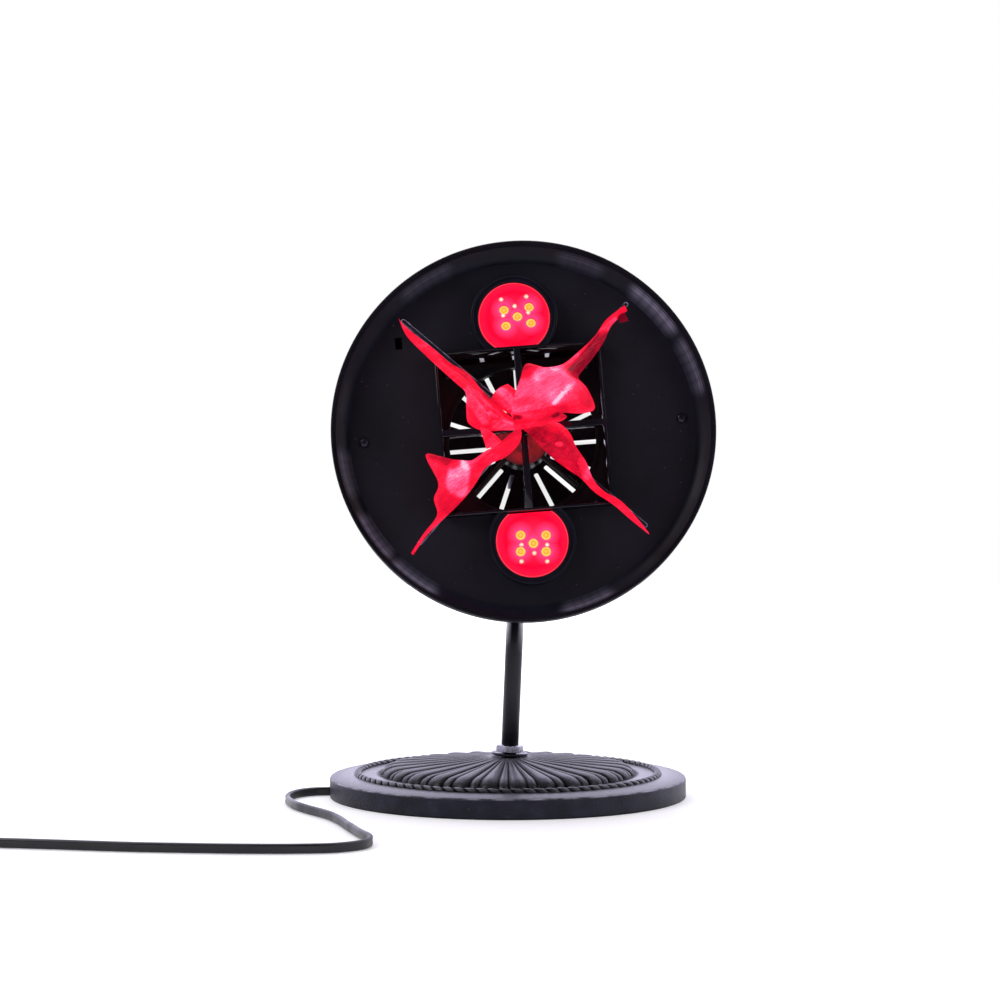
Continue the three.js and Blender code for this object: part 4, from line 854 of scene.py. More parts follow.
def nut_shape(bottom):
    corner = NUT_FLATS / sqrt(3)
    low, high = bottom, bottom + NUT_HEIGHT
    place = Matrix.Translation((0, 0, (low + high) / 2)) @ Matrix.Rotation(radians(NUT_TURN), 4, "Z")
    shape = bmesh.new()
    bmesh.ops.create_cone(shape, cap_ends=True, segments=6, radius1=corner, radius2=corner,
                          depth=NUT_HEIGHT, matrix=place)
    inner, outer = corner - 1.15, corner + 3
    lathe = turned([(inner, low - 1), (outer, low - 1), (outer, high + 1), (inner, high + 1), (inner, high),
                    (corner + 0.02, high - 0.75), (corner + 0.02, low + 0.75), (inner, low)], 48, "Z")
    bore = turned([(0, low - 1), (5.35, low - 1), (5.35, high + 1), (0, high + 1)], 32, "Z")
    return cut_out(softened(shape, 0.25, 2), lathe, bore)


def thread(start, end, crest, root):
    """The zigzag of a thread in a profile."""
    line = []
    while start + THREAD_PITCH < end:
        line += [(crest, start + THREAD_PITCH * 0.35), (root, start + THREAD_PITCH * 0.85)]
        start += THREAD_PITCH
    return line


def nipple_shape():
    ends = [(3.4, NIPPLE_BOTTOM), (4.5, NIPPLE_BOTTOM)], [(4.5, NIPPLE_TOP), (3.4, NIPPLE_TOP)]
    return turned(ends[0] + thread(NIPPLE_BOTTOM + 0.3, NIPPLE_TOP, 4.9, 4.45) + ends[1], 40, "Z")


LOWER_NUT_BOTTOM = LOWER_WASHER_TOP - WASHER_HEIGHT - NUT_HEIGHT
for name, shape, finish, stands_for, slot in (
        ("dished_washer", washer_shape(WASHER_BOTTOM), dark_plate, "top_washer", "steel"),
        ("inner_washer", washer_shape(LOWER_WASHER_TOP, -1), plated, "lower_washer", "steel"),
        ("hex_nut", nut_shape(NUT_BOTTOM), plated, "top_nut", "steel"),
        ("inner_nut", nut_shape(LOWER_NUT_BOTTOM), plated, "lower_nut", "steel"),
        ("threaded_nipple", nipple_shape(), brass, "stem_nipple", "brass")):
    finished(name, shape, finish, stands_for, STEM, "base")

# %% [markdown]
# The stem is a bent steel tube. A real one is bent round a form, and a spin does the same to a circle: the
# circle is pushed straight up, spun round the first bend's centre, pushed along and spun back.

# %% Stem tube
TUBE_RADIUS = 6.35
TUBE_WALL = 1.05
BEND_RADIUS = 38
BEND_ANGLE = radians(72)
BEND_START = 110
STEM_FOOT = 37.065
STEM_TOP = 237.2


def only(kind, geometry):
    return [item for item in geometry if isinstance(item, kind)]


def tube_shape():
    shape = bmesh.new()
    foot = Matrix.Translation((0, 0, STEM_FOOT))
    bmesh.ops.create_circle(shape, segments=40, radius=TUBE_RADIUS, matrix=foot)

    def pushed(edges, by):
        made = bmesh.ops.extrude_edge_only(shape, edges=edges)["geom"]
        bmesh.ops.translate(shape, verts=only(bmesh.types.BMVert, made), vec=by)
        return only(bmesh.types.BMEdge, made)

    def bent(edges, centre, angle):
        verts = list({v for edge in edges for v in edge.verts})
        made = bmesh.ops.spin(shape, geom=verts + edges, cent=centre, axis=AXES["X"], angle=angle, steps=16)
        return only(bmesh.types.BMEdge, made["geom_last"])

    reach = BEND_RADIUS * (1 - cos(BEND_ANGLE))
    run = (STEM_BACK - 2 * reach) / sin(BEND_ANGLE)
    rise = 2 * BEND_RADIUS * sin(BEND_ANGLE) + run * cos(BEND_ANGLE)
    ring = pushed(shape.edges[:], (0, 0, BEND_START - STEM_FOOT))
    ring = bent(ring, (0, BEND_RADIUS, BEND_START), -BEND_ANGLE)
    ring = pushed(ring, (0, run * sin(BEND_ANGLE), run * cos(BEND_ANGLE)))
    ring = bent(ring, (0, STEM_BACK - BEND_RADIUS, BEND_START + rise), BEND_ANGLE)
    pushed(ring, (0, 0, STEM_TOP - BEND_START - rise))
    return softened(thickened(cleaned(shape), TUBE_WALL), 0.25, 2, 50)


def enamel(name, dark, pale):
    return grained_finish(name, dark, pale, (0.28, 0.42), 0.00002, 500, 35, 0.15, 0.06,
                          Specular_IOR_Level=0.4)


def stem_finish():
    """Tube enamel with a painted highlight at both edges where the tube starts to curve back under the dish.
    """
    material = enamel("stem_enamel", (8, 9, 18), (15, 16, 29))
    tree = material.node_tree
    waver = times(tree, spread(tree, noise_value(tree, 60.0, 2.0), 0.3, 0.7, -1.0, 1.0), 0.003)
    level = maths(tree, "ADD", axes_of(tree, here(tree))["Z"], waver)
    bend = times(tree, spread(tree, level, 0.102, 0.124), spread(tree, level, 0.142, 0.131))
    sideways = maths(tree, "ABSOLUTE", axes_of(tree, node(tree, "NewGeometry").outputs["Normal"])["X"])
    # Painted highlight: near-white laid over the enamel on both sides of the bend.
    return painted_over(material, times(tree, bend, bend, spread(tree, sideways, 0.35, 0.8)), (255, 252, 255))


black_enamel = enamel("black_enamel", (15, 16, 24), (24, 25, 37))
finished("bent_tube", tube_shape(), stem_finish(), "stem_tube", STEM, "stem", sharp=50)

# %% [markdown]
# The head's front is one moulding, but it is easier to make as the five forms that it is made of. The rim is
# a turned ring: a narrow grained band, then a steep polished slope that falls to the plate. The plate is flat
# and dull, with holes for the duct and the two lamps. It is cut from a disc with the Boolean modifier. The
# slope's soft sheens are painted where the photograph's studio lights fell on it.

# %% Rim and plate of the dish
DISH_RADIUS = 140
DISH_WALL = 2.2
BAND_RADIUS = 136.3
BAND_DEPTH = 8
PLATE_RADIUS = 127.8
PLATE_DEPTH = 20
PLATE_BACK = 22.2
SKIRT_DEPTH = 18
DUCT_OPENING = 118
DUCT_OUTER = 121.6
DUCT_LIP = 7
FAN_FRONT = 50
LAMP_REACH = 82.9
COLLAR_RADIUS = 31.7
PLATE_SCREW_REACH = 117
PLATE_NOTCH = (5, 20, 9)
PLATE_NOTCH_X = -86.4
PLATE_NOTCH_Z = 71.9
SCREW_HOLE = 2.2
PAINTED_HIGHLIGHT_DEPTH = 11
# Painted highlights on the slope: angle, radius, half width and strength of each.
PAINTED_HIGHLIGHTS = ((118, 129.5, 9, 0.5), (67, 129.5, 7, 0.55), (39, 130.5, 10, 1.0), (17, 130, 9, 0.8),
          (-171, 129.5, 7, 0.75), (-149, 130.5, 8, 1.0), (-131, 131, 8, 0.9), (-74, 130.5, 8, 0.85),
          (165, 129.5, 5, 0.25), (-20, 129.5, 5, 0.25))
COVE = ((0.0, 20.0), (0.8, 19.8), (1.8, 19.35), (2.9, 18.5), (4.2, 17.0), (5.5, 15.0), (6.8, 12.5),
        (7.8, 10.0), (8.2, 8.6))

dull_black = grained_finish("dull_moulding", (15, 13, 22), (23, 20, 32), (0.5, 0.66), 0.00006, 1400, 22,
                            0.35, 0.06, Specular_IOR_Level=0.2)
gloss_black = grained_finish("gloss_duct", (12, 8, 16), (20, 14, 26), (0.04, 0.12), 0.00001, 300, 50, 0.35)


def in_metres(place, x, y, z):
    """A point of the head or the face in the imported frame."""
    return place @ (Vector((x, y, z)) * MM)


def slope_finish():
    """Polished moulding whose normals lean forward like a hollow curve's, with painted highlights in fine
    rings.
    """
    material = grained_finish("polished_slope", (14, 14, 25), (23, 23, 37), (0.34, 0.46), 0.00001, 700, 26,
                              0.04, Specular_IOR_Level=0.15)
    tree = material.node_tree
    forward = node(tree, "VectorTransform", vector_type="NORMAL", convert_from="OBJECT", convert_to="WORLD")
    forward.inputs["Vector"].default_value = HEAD.to_3x3() @ Vector((0, -0.95, 0))
    leaning = node(tree, "VectorMath", operation="ADD")
    tree.links.new(node(tree, "NewGeometry").outputs["Normal"], leaning.inputs[0])
    tree.links.new(forward.outputs["Vector"], leaning.inputs[1])
    evened = node(tree, "VectorMath", operation="NORMALIZE")
    tree.links.new(leaning.outputs["Vector"], evened.inputs[0])
    dressed(tree, tree.nodes["Bump"], Normal=evened.outputs["Vector"])
    painted_highlight = 0.0
    for angle, radius, half, strength in PAINTED_HIGHLIGHTS:
        for step in (-1, -0.5, 0, 0.5, 1):
            turn = radians(angle + step * half * 0.7)
            away = away_from(tree, in_metres(HEAD, radius * cos(turn), PAINTED_HIGHLIGHT_DEPTH, radius * sin(turn)))
            spot = spread(tree, away, 0.0, 0.0125, strength, 0.0)
            painted_highlight = maths(tree, "MAXIMUM", painted_highlight, times(tree, spot, spread(tree, spot, 0.0, 0.8)))
    ring = dressed(tree, node(tree, "CombineXYZ"), X=away_from(tree, in_metres(HEAD, 0, PAINTED_HIGHLIGHT_DEPTH, 0)))
    streaks = spread(tree, noise_value(tree, 900.0, 3.0, ring.outputs["Vector"]), 0.35, 0.6, 0.25, 1.15)
    return painted_over(material, times(tree, painted_highlight, streaks), (176, 172, 202))


def rim_shape():
    inner = PLATE_RADIUS - 0.6
    front = [(BAND_RADIUS, BAND_DEPTH - 0.1), (BAND_RADIUS + 0.4, BAND_DEPTH - 1.2), (138.7, 0.5),
             (139.0, 0.1), (139.3, 0.05), (139.75, 0.35), (DISH_RADIUS, 1.0)]
    back = [(DISH_RADIUS, SKIRT_DEPTH), (DISH_RADIUS - 0.4, SKIRT_DEPTH + 0.2),
            (DISH_RADIUS - DISH_WALL, SKIRT_DEPTH), (137.8, 10.75), (129.2, PLATE_BACK), (inner, PLATE_BACK)]
    cove = [(PLATE_RADIUS + out, depth) for out, depth in COVE]
    return turned([(inner, PLATE_DEPTH), *cove, *front, *back], 192)


def plate_shape():
    edge = PLATE_RADIUS - 0.55
    disc = turned([(0, PLATE_DEPTH), (edge, PLATE_DEPTH), (edge, PLATE_BACK), (0, PLATE_BACK)], 192)
    holes = [block((DUCT_OUTER, 20, DUCT_OUTER), (0, PLATE_DEPTH, FACE_RISE)),
             block(PLATE_NOTCH, (PLATE_NOTCH_X, PLATE_DEPTH, PLATE_NOTCH_Z + FACE_RISE))]
    holes += [rod(COLLAR_RADIUS, 0, 40, 0, FACE_RISE + side * LAMP_REACH, 96) for _, side in UP_AND_DOWN]
    low, high = PLATE_DEPTH + 0.1, PLATE_DEPTH - 0.25
    raised = [(3.4, high), (4.4, high), (4.7, low), (3.4, low)]
    bosses = []
    for _, side in LEFT_AND_RIGHT:
        place = side * PLATE_SCREW_REACH
        holes.append(rod(SCREW_HOLE, PLATE_DEPTH - 3, PLATE_DEPTH + 6, place, FACE_RISE, 20))
        bosses.append(placed(turned(raised, 40), place, 0, FACE_RISE))
    return merged(cut_out(disc, *holes), *bosses)


satin_black = slope_finish()
rim = finished("dish_rim", rim_shape(), satin_black, "front_plate", place=HEAD, sharp=40)
rim.data.materials.append(dull_black)
for face in rim.data.polygons:
    local = HEAD.inverted() @ face.center / MM
    face.material_index = int(Vector((local.x, local.z)).length > BAND_RADIUS + 0.2)
finished("dish_plate", plate_shape(), dull_black, "front_plate", place=HEAD, sharp=30)

# %% [markdown]
# The duct is a square tube of thin glossy plastic that runs from in front of the plate back to the fan. A
# cross of deep narrow bars stands in its mouth, with a round boss in the middle that carries the silk
# holder. Each lamp has a stepped collar, and the duct's wall cuts a slice off it.

# %% Duct, cross and lamp collars
CROSS_BAR = 4.8
CROSS_DEPTH = 9
COLLAR_LINE = ((29.9, 7.4), (30.2, 7.05), (31.4, 7.05), (31.7, 7.4), (31.7, 22.2), (22.4, 22.2),
               (22.4, 26.2), (20.6, 26.2), (20.6, 17.0), (23.4, 16.2), (23.4, 14.2), (26.85, 14.0),
               (26.85, 9.2), (27.1, 9.0), (29.9, 9.0))


def duct_shape():
    end = FAN_FRONT - 0.3
    walls = open_box((DUCT_OUTER, end - DUCT_LIP, DUCT_OUTER), (0, (end + DUCT_LIP) / 2, 0))
    return softened(thickened(walls, (DUCT_OUTER - DUCT_OPENING) / 2), 0.35, 2, 50)


def cross_shape():
    middle, reach = DUCT_LIP + CROSS_DEPTH / 2, DUCT_OPENING + 0.6
    sizes = (CROSS_BAR, CROSS_DEPTH, reach), (reach, CROSS_DEPTH, CROSS_BAR)
    bars = [softened(block(size, (0, middle, 0)), 0.3) for size in sizes]
    return merged(*bars, turned([(4.3, 5.4), (4.7, 5.0), (5.8, 5.0), (6.2, 5.4), (6.2, 16), (4.3, 16)], 40))


def collar_shape(side):
    return sliced(placed(turned(COLLAR_LINE, 128), z=side * LAMP_REACH), DUCT_OUTER / 2, side)


finished("air_duct", duct_shape(), gloss_black, "front_plate")
finished("duct_cross", cross_shape(), gloss_black, "front_plate")
for word, side in UP_AND_DOWN:
    finished(f"lamp_collar_{word}", collar_shape(side), satin_black, "front_plate")

# %% [markdown]
# The lamps are on in the photograph. A red disc glows all over, brightest in a line at its edge, and five
# amber diodes shine through it. The disc lets part of what is behind it through, and its glow follows the
# distance from its own middle. The diodes are small lenses, each with a bright ring and a darker middle.

# %% Finishes of the lamps
DIODE_DOTS = ((0, 0), (9.3, 6), (-9.3, 6), (9.3, -6), (-9.3, -6))
FILTER_LEAN = 0.3
GLOW_DEPTH = 14
FILTER_FRONT = 12.3
LENS_FRONT = 17
LAMP_TURN = {"upper": (radians(-2.4), 2.7, 1.7), "lower": (radians(4.5), 0.8, -1.2)}
FILTER_STOPS = ((0, (255, 34, 74)), (9, (255, 28, 66)), (15, (255, 16, 56)), (19.5, (232, 2, 46)),
                (21.5, (246, 10, 54)), (24.6, (255, 20, 60)), (25.2, (214, 2, 44)), (25.8, (255, 60, 84)),
                (27.5, (255, 40, 70)))
CUP_STOPS = ((0, (255, 60, 110)), (12, (255, 40, 90)), (20, (230, 10, 50)))
AMBER_STOPS = ((0, (255, 205, 30)), (0.3, (252, 196, 28)), (0.44, (226, 140, 20)), (0.56, (252, 200, 40)),
               (0.75, (255, 226, 70)), (0.92, (255, 196, 50)), (1, (235, 150, 40)))


def diode_places(word, side):
    """Where the five diodes of a lamp are, in the frame of the face and in millimetres."""
    turn, right, up = LAMP_TURN[word]
    return [(x * cos(turn) + z * sin(turn) + right, z * cos(turn) - x * sin(turn) + up + side * LAMP_REACH)
            for x, z in DIODE_DOTS]


def nearest_diode(tree, word, side, depth, right=0.0, up=0.0):
    """The distance to the nearest diode, or to a spot beside it where a reflection of it is painted."""
    nearest = None
    for x, z in diode_places(word, side):
        away = away_from(tree, in_metres(FACE, x + right, depth, z + up))
        nearest = maths(tree, "MINIMUM", nearest, away) if nearest else away
    return nearest


def glow_finish(name, word, side, stops, strength, clear, rough=0.15):
    """A glowing face: its colour goes by the distance from the lamp's axis. Each diode has a pink halo."""
    material, tree, shader = new_finish(name, Roughness=rough, Specular_IOR_Level=0.25)
    reach = stops[-1][0]
    away = away_from(tree, in_metres(FACE, 0, GLOW_DEPTH, side * LAMP_REACH))
    rings = stepped_ramp(tree, spread(tree, away, 0.0, reach * MM),
                         [(distance / reach, colour) for distance, colour in stops])
    nearest = nearest_diode(tree, word, side, FILTER_FRONT, up=-FILTER_LEAN)
    halo = times(tree, spread(tree, nearest, 0.003, 0.0105, 0.95, 0.0),
                 spread(tree, nearest, 0.003, 0.0055, 1.0, 0.6))
    colour = mixed(tree, spread(tree, noise_value(tree, 90.0, 3.0), 0.4, 0.7, 0.0, 0.3), rings, (206, 0, 36))
    colour = mixed(tree, halo, colour, (255, 74, 140))
    # A painted reflection of each diode: a small pale spot just beside it on the filter.
    mirrored = nearest_diode(tree, word, side, FILTER_FRONT, -0.8 - 0.8 * side, side * 7.4 - FILTER_LEAN)
    broken = spread(tree, noise_value(tree, 1100.0, 1.0), 0.35, 0.55, 0.5, 1.0)
    painted_reflection = times(tree, spread(tree, mirrored, 0.0004, 0.0019, 1.0, 0.0), broken)
    colour = mixed(tree, painted_reflection, colour, (255, 246, 200))
    glowing(tree, shader, colour, strength)
    dressed(tree, shader, Alpha=spread(tree, nearest, 0.0035, 0.0042, 1.0 - clear, 0.96))
    return material


def diode_finish(word, side):
    """An amber diode: yellow, with a darker ring half way out from its middle."""
    material, tree, shader = new_finish(f"amber_diode_{word}", Roughness=0.2)
    nearest = nearest_diode(tree, word, side, LENS_FRONT)
    mottle = spread(tree, noise_value(tree, 900.0, 2.0), 0.3, 0.7, -0.0003, 0.0003)
    place = spread(tree, maths(tree, "ADD", nearest, mottle), 0.0, 0.0038)
    glowing(tree, shader, stepped_ramp(tree, place, AMBER_STOPS), 1.1)
    return material


ceramic = grained_finish("white_ceramic", (196, 194, 186), (222, 220, 212), (0.4, 0.6), 0.00002, 600, 50)

# %% [markdown]
# The filter is a disc with a flat cut along the duct. Behind it sits the lamp: a cup with a pale red face,
# five diodes in it like the dots on a die, and a ceramic socket at the back of the cup.

# %% Filters, lamps and sockets
SOCKET_SIZE = (17, 12, 17)
SOCKET_DEPTH = 52.8
FILTER_LINE = ((0, 12.1), (25.9, 12.1), (26.4, 12.5), (26.4, 13.3), (26.1, 13.7), (0, 13.7))
CUP_LINE = ((0, 19.5), (17.2, 19.5), (18.3, 18.6), (19.3, 16.8), (20.0, 16.8), (20.0, 20.5), (8, 46.5),
            (0, 46.5))
LENS_LINE = ((0, 16.6), (1.0, 16.7), (2.0, 17.0), (2.9, 17.6), (3.6, 18.6), (3.8, 19.6), (0, 19.6))

for word, side in UP_AND_DOWN:
    up = side * LAMP_REACH
    glass = glow_finish(f"red_filter_{word}", word, side, FILTER_STOPS, 0.85, clear=0.92, rough=0.12)
    cup_red = glow_finish(f"lit_cup_{word}", word, side, CUP_STOPS, 0.8, clear=0.0)
    disc = sliced(placed(turned(FILTER_LINE, 96), z=up), DUCT_OUTER / 2 + 1.2, side)
    diodes = merged(*[placed(turned(LENS_LINE, 32), x, 0, z) for x, z in diode_places(word, side)])
    socket = softened(block(SOCKET_SIZE, (0, SOCKET_DEPTH, up)), 1.2, 3)
    finished(f"filter_disc_{word}", disc, glass, f"red_filter_{word}")
    finished(f"lamp_cup_{word}", placed(turned(CUP_LINE, 64), z=up), cup_red, f"lamp_{word}")
    finished(f"lamp_diodes_{word}", diodes, diode_finish(word, side), f"lamp_{word}")
    finished(f"ceramic_socket_{word}", socket, ceramic, f"lamp_socket_{word}")

# %% [markdown]
# Behind the cross sits a common 120 mm fan. Its case is a square frame with a round bore and rounded corners.
# The rotor has seven twisted blades. In the photograph it runs, so the blades are only a shade over the
# slots behind them. Here they are made of smoked clear plastic, which lets the slots shine through in the
# same way. Each blade starts as a flat grid that is bent round the hub and twisted point by point.

# %% Fan
FAN_SIZE = 119
FAN_BACK = FAN_FRONT + 25
FAN_BORE = 57.5
FAN_LIP = 55
FAN_HOLE = 52.5
FLANGE = 5
ROTOR_FRONT = 54.6
ROTOR_REAR = 74.4
HUB_RADIUS = 20
TIP_RADIUS = 55.8
BLADES = 7
BLADE_TURN = radians(11)
BLADE_PITCH = radians(38)
BLADE_TWIST = 0.38
BLADE_COVER = 0.78
BLADE_CAMBER = 0.05
BLADE_THICKNESS = 1.5
STRUT_WIDTH = 3.2
STRUT_DEPTH = 3.6


def fan_case_shape():
    flanges = []
    for depth in (FAN_FRONT + FLANGE / 2, FAN_BACK - FLANGE / 2):
        holes = [rod(SCREW_HOLE, depth - 4, depth + 4, x * FAN_HOLE, z * FAN_HOLE, 20) for x, z in CORNERS]
        square = round_sided(block((FAN_SIZE, FLANGE, FAN_SIZE), (0, depth, 0)), 4, 6)
        flanges.append(cut_out(square, rod(FAN_BORE, depth - 5, depth + 5, 0, 0, 96), *holes))
    barrel = turned([(FAN_LIP, FAN_FRONT + 0.5), (FAN_LIP + 0.5, FAN_FRONT), (59.2, FAN_FRONT),
                     (59.2, FAN_BACK), (58.6, FAN_BACK), (FAN_BORE, FAN_BACK - 8),
                     (FAN_BORE, FAN_FRONT + 2.6), (FAN_LIP, FAN_FRONT + 2)], 96)
    stator = turned([(3.2, FAN_FRONT), (18.9, FAN_FRONT), (19.6, FAN_FRONT + 0.7), (19.6, 54), (3.2, 54)], 64)
    strut = (2 * FAN_BORE + 1, STRUT_DEPTH, STRUT_WIDTH)
    struts = [placed(softened(block(strut, (0, FAN_FRONT + 2, 0)), 0.5), turn=radians(turn))
              for turn in (45, -45)]
    return merged(*flanges, barrel, stator, *struts)


def blade_shape():
    root = HUB_RADIUS - 0.8
    shape = bmesh.new()
    bmesh.ops.create_grid(shape, x_segments=10, y_segments=8, size=0.5)
    for v in shape.verts:
        out, chordwise = v.co.y + 0.5, v.co.x
        radius = root + (TIP_RADIUS - root) * out
        pitch = BLADE_PITCH * (1 - BLADE_TWIST * out)
        chord = tau * radius / BLADES * BLADE_COVER
        along = chordwise * chord
        turn = along * cos(pitch) / radius
        bow = BLADE_CAMBER * chord * (1 - 4 * chordwise ** 2)
        depth = (ROTOR_FRONT + ROTOR_REAR) / 2 + along * sin(pitch) + bow
        v.co = Vector((radius * sin(turn), depth, radius * cos(turn)))
    return thickened(shape, BLADE_THICKNESS)


fan_black = grained_finish("fan_black", (5, 6, 10), (11, 12, 18), (0.3, 0.45), 0.00003, 900, 40, 0.3,
                           Specular_IOR_Level=0.3)
smoked = grained_finish("smoked_blades", (12, 12, 18), (22, 22, 30), (0.3, 0.4), 0.00001, 900, 40,
                        Alpha=0.07)
hub_line = ((0, ROTOR_FRONT), (18.8, ROTOR_FRONT), (20, ROTOR_FRONT + 1), (20, ROTOR_REAR), (0, ROTOR_REAR))
hub = merged(turned(hub_line, 64), rod(2.8, FAN_FRONT + 1.3, ROTOR_FRONT + 1, 0, 0, 24))
blades = merged(*[placed(blade_shape(), turn=BLADE_TURN + tau * k / BLADES) for k in range(BLADES)])
finished("fan_case", fan_case_shape(), fan_black, "fan_frame", place=HEAD)
finished("fan_hub", hub, fan_black, "fan_rotor", place=HEAD, body="fan")
finished("fan_blades", blades, smoked, "fan_rotor", place=HEAD, body="fan")

# %% [markdown]
# A round red disc covers the middle of the fan. The orange red glow that light from the lamps and the silk
# gives it is painted.
# It is left bare of writing, with only the paper's faint mottling and a thin printed rim line.

# %% Disc on the fan
DISC_FRONT = 49.3
DISC_MIDDLE = 49.5


def disc_finish():
    material, tree, shader = new_finish("lit_red_disc", Roughness=0.5)
    patches = noise_value(tree, 160.0, 5.0)
    colour = mixed(tree, spread(tree, patches, 0.35, 0.65), (118, 6, 22), (180, 20, 32))
    line = spread(tree, away_from(tree, in_metres(HEAD, 0, DISC_MIDDLE, 0)), 0.0172, 0.0176)
    # The glow is painted light from the lamps and the silk.
    glowing(tree, shader, mixed(tree, line, colour, (120, 8, 22)), 0.25)
    bumped(tree, shader, patches, 0.4, 0.0001)
    return material


disc = turned([(0, DISC_FRONT), (19.0, DISC_FRONT), (19.3, 49.4), (19.3, 49.7), (0, 49.7)], 64)
finished("hub_disc", disc, disc_finish(), "hub_label", HEAD)

# %% [markdown]
# The rear bowl is a turned shell that tapers to a flat wall. Sixteen slots run out from its middle like the
# rays of a sun. All sixteen cutters go into one shape, so the wall is cut in one step.

# %% Rear bowl
HEAD_DEPTH = 89
SLOT_COUNT = 16
SLOT_SIZE = (43, 9, 3.5)
SLOT_REACH = 44.5
STUD_HOLE = 5.2
SWITCH_REACH = 75
SWITCH_WINDOW = (10.2, 9, 15.6)
BOWL_LINE = ((0, HEAD_DEPTH), (83, HEAD_DEPTH), (85.8, 88.6), (88, 87.3), (89.4, 84.8), (90.0, 81.5),
             (90.6, 79.3), (135.6, 25.7), (136.4, 24.3), (137.5, 20.6), (137.5, 14.8), (137.2, 14.5),
             (136, 14.5), (136, 20.3), (134.3, 24.2), (88.4, 78.2), (87.6, 81), (87.0, 84), (85.4, 86),
             (83, 86.8), (0, 86.8))


def bowl_shape():
    slots = []
    for k in range(SLOT_COUNT):
        ray = round_sided(block(SLOT_SIZE, (SLOT_REACH, HEAD_DEPTH, 0)), 1.2, 3)
        slots.append(placed(ray, turn=tau * k / SLOT_COUNT))
    window = block(SWITCH_WINDOW, (SWITCH_REACH, HEAD_DEPTH, 0))
    stud_hole = rod(STUD_HOLE, HEAD_DEPTH - 9, HEAD_DEPTH + 3, 0, 0, 40)
    wall = cut_out(turned(BOWL_LINE, 128), merged(*slots), window, stud_hole)
    fan_line = [(SCREW_HOLE, 75.3), (4.4, 75.3), (4.4, 88), (SCREW_HOLE, 88)]
    plate_line = [(SCREW_HOLE, 22.5), (4.5, 22.5), (4.5, 40.8), (SCREW_HOLE, 40.8)]
    fan_posts = [placed(turned(fan_line, 28), x * FAN_HOLE, 0, z * FAN_HOLE) for x, z in CORNERS]
    plate_posts = [placed(turned(plate_line, 28), side * PLATE_SCREW_REACH, 0, FACE_RISE)
                   for _, side in LEFT_AND_RIGHT]
    return merged(wall, *fan_posts, *plate_posts)


finished("slotted_bowl", bowl_shape(), dull_black, "rear_bowl", place=HEAD, sharp=32)

# %% [markdown]
# Six cross-head screws hold the head together. One function models the screw, short for the plate and long
# for the fan, with its rounded head and the cross cut into it.

# %% Screws
dark_steel = grained_finish("dark_steel", (36, 35, 43), (62, 60, 72), (0.3, 0.45), 0.00001, 800, 250,
                            Metallic=0.9)
SCREW_HEAD = ((0, -2.3), (1.6, -2.25), (2.8, -1.8), (3.4, -1.1), (3.6, -0.5), (3.5, -0.3), (1.9, -0.3))


def screw_shape(depth, length):
    end = depth + length
    line = [(radius, depth + height) for radius, height in SCREW_HEAD]
    line += [(1.9, end - 1), (1.1, end), (0, end)]
    recess = [placed(block((3.9, 2.4, 0.85), (0, depth - 2.2, 0)), turn=turn) for turn in (0, radians(90))]
    return cut_out(turned(line, 36), *recess)


for word, x in LEFT_AND_RIGHT:
    face_screw = placed(screw_shape(PLATE_DEPTH, 14), x * PLATE_SCREW_REACH)
    finished(f"face_screw_{word}", face_screw, dark_steel, f"plate_screw_{word}")
for height, z in UP_AND_DOWN:
    for word, x in LEFT_AND_RIGHT:
        case_screw = placed(screw_shape(FAN_FRONT, 32), x * FAN_HOLE, 0, z * FAN_HOLE)
        finished(f"case_screw_{height}_{word}", case_screw, dark_steel, f"fan_screw_{height}_{word}",
                 HEAD)

# %% [markdown]
# The silk holder is a cross of four thin flat bars on a short post. Their ends are rounded and their edges
# catch the light, so each bar gets a fine bevel with a painted highlight on the bevel's faces.

# %% Silk holder
ARM_REACH = 116
ARM_FRONT = -13
ARM_THICKNESS = 2
ARM_WIDTH = 3.6


def holder_shape():
    bars = []
    for turn in (45, 135):
        size = (2 * ARM_REACH, ARM_THICKNESS, ARM_WIDTH)
        bar = round_sided(block(size, (0, ARM_FRONT - ARM_THICKNESS / 2, 0)), 1.7, 6)
        bars.append(placed(softened(bar, 0.8, 3, 50), turn=radians(turn)))
    hub = turned([(0, -15.1), (3.2, -15.1), (4.0, -14.5), (4.0, 13.4), (3.6, 13.7), (0, 13.7)], 40)
    return merged(*bars, hub)


arm_gloss = grained_finish("arm_gloss", (22, 20, 30), (34, 31, 44), (0.1, 0.2), 0.00001, 500, 60)
# A painted highlight for the bevel's faces, where the edges catch the light.
arm_edge_highlight = grained_finish("arm_edge_highlight", (44, 42, 58), (120, 118, 142), (0.15, 0.3), 0.00001, 500, 160)
holder = finished("silk_arms", holder_shape(), arm_gloss, "silk_holder")
holder.data.materials.append(arm_edge_highlight)
forward = (HEAD.to_3x3() @ Vector((0, -1, 0))).normalized()
for face in holder.data.polygons:
    face.material_index = int(0.15 < face.normal.dot(forward) < 0.98)
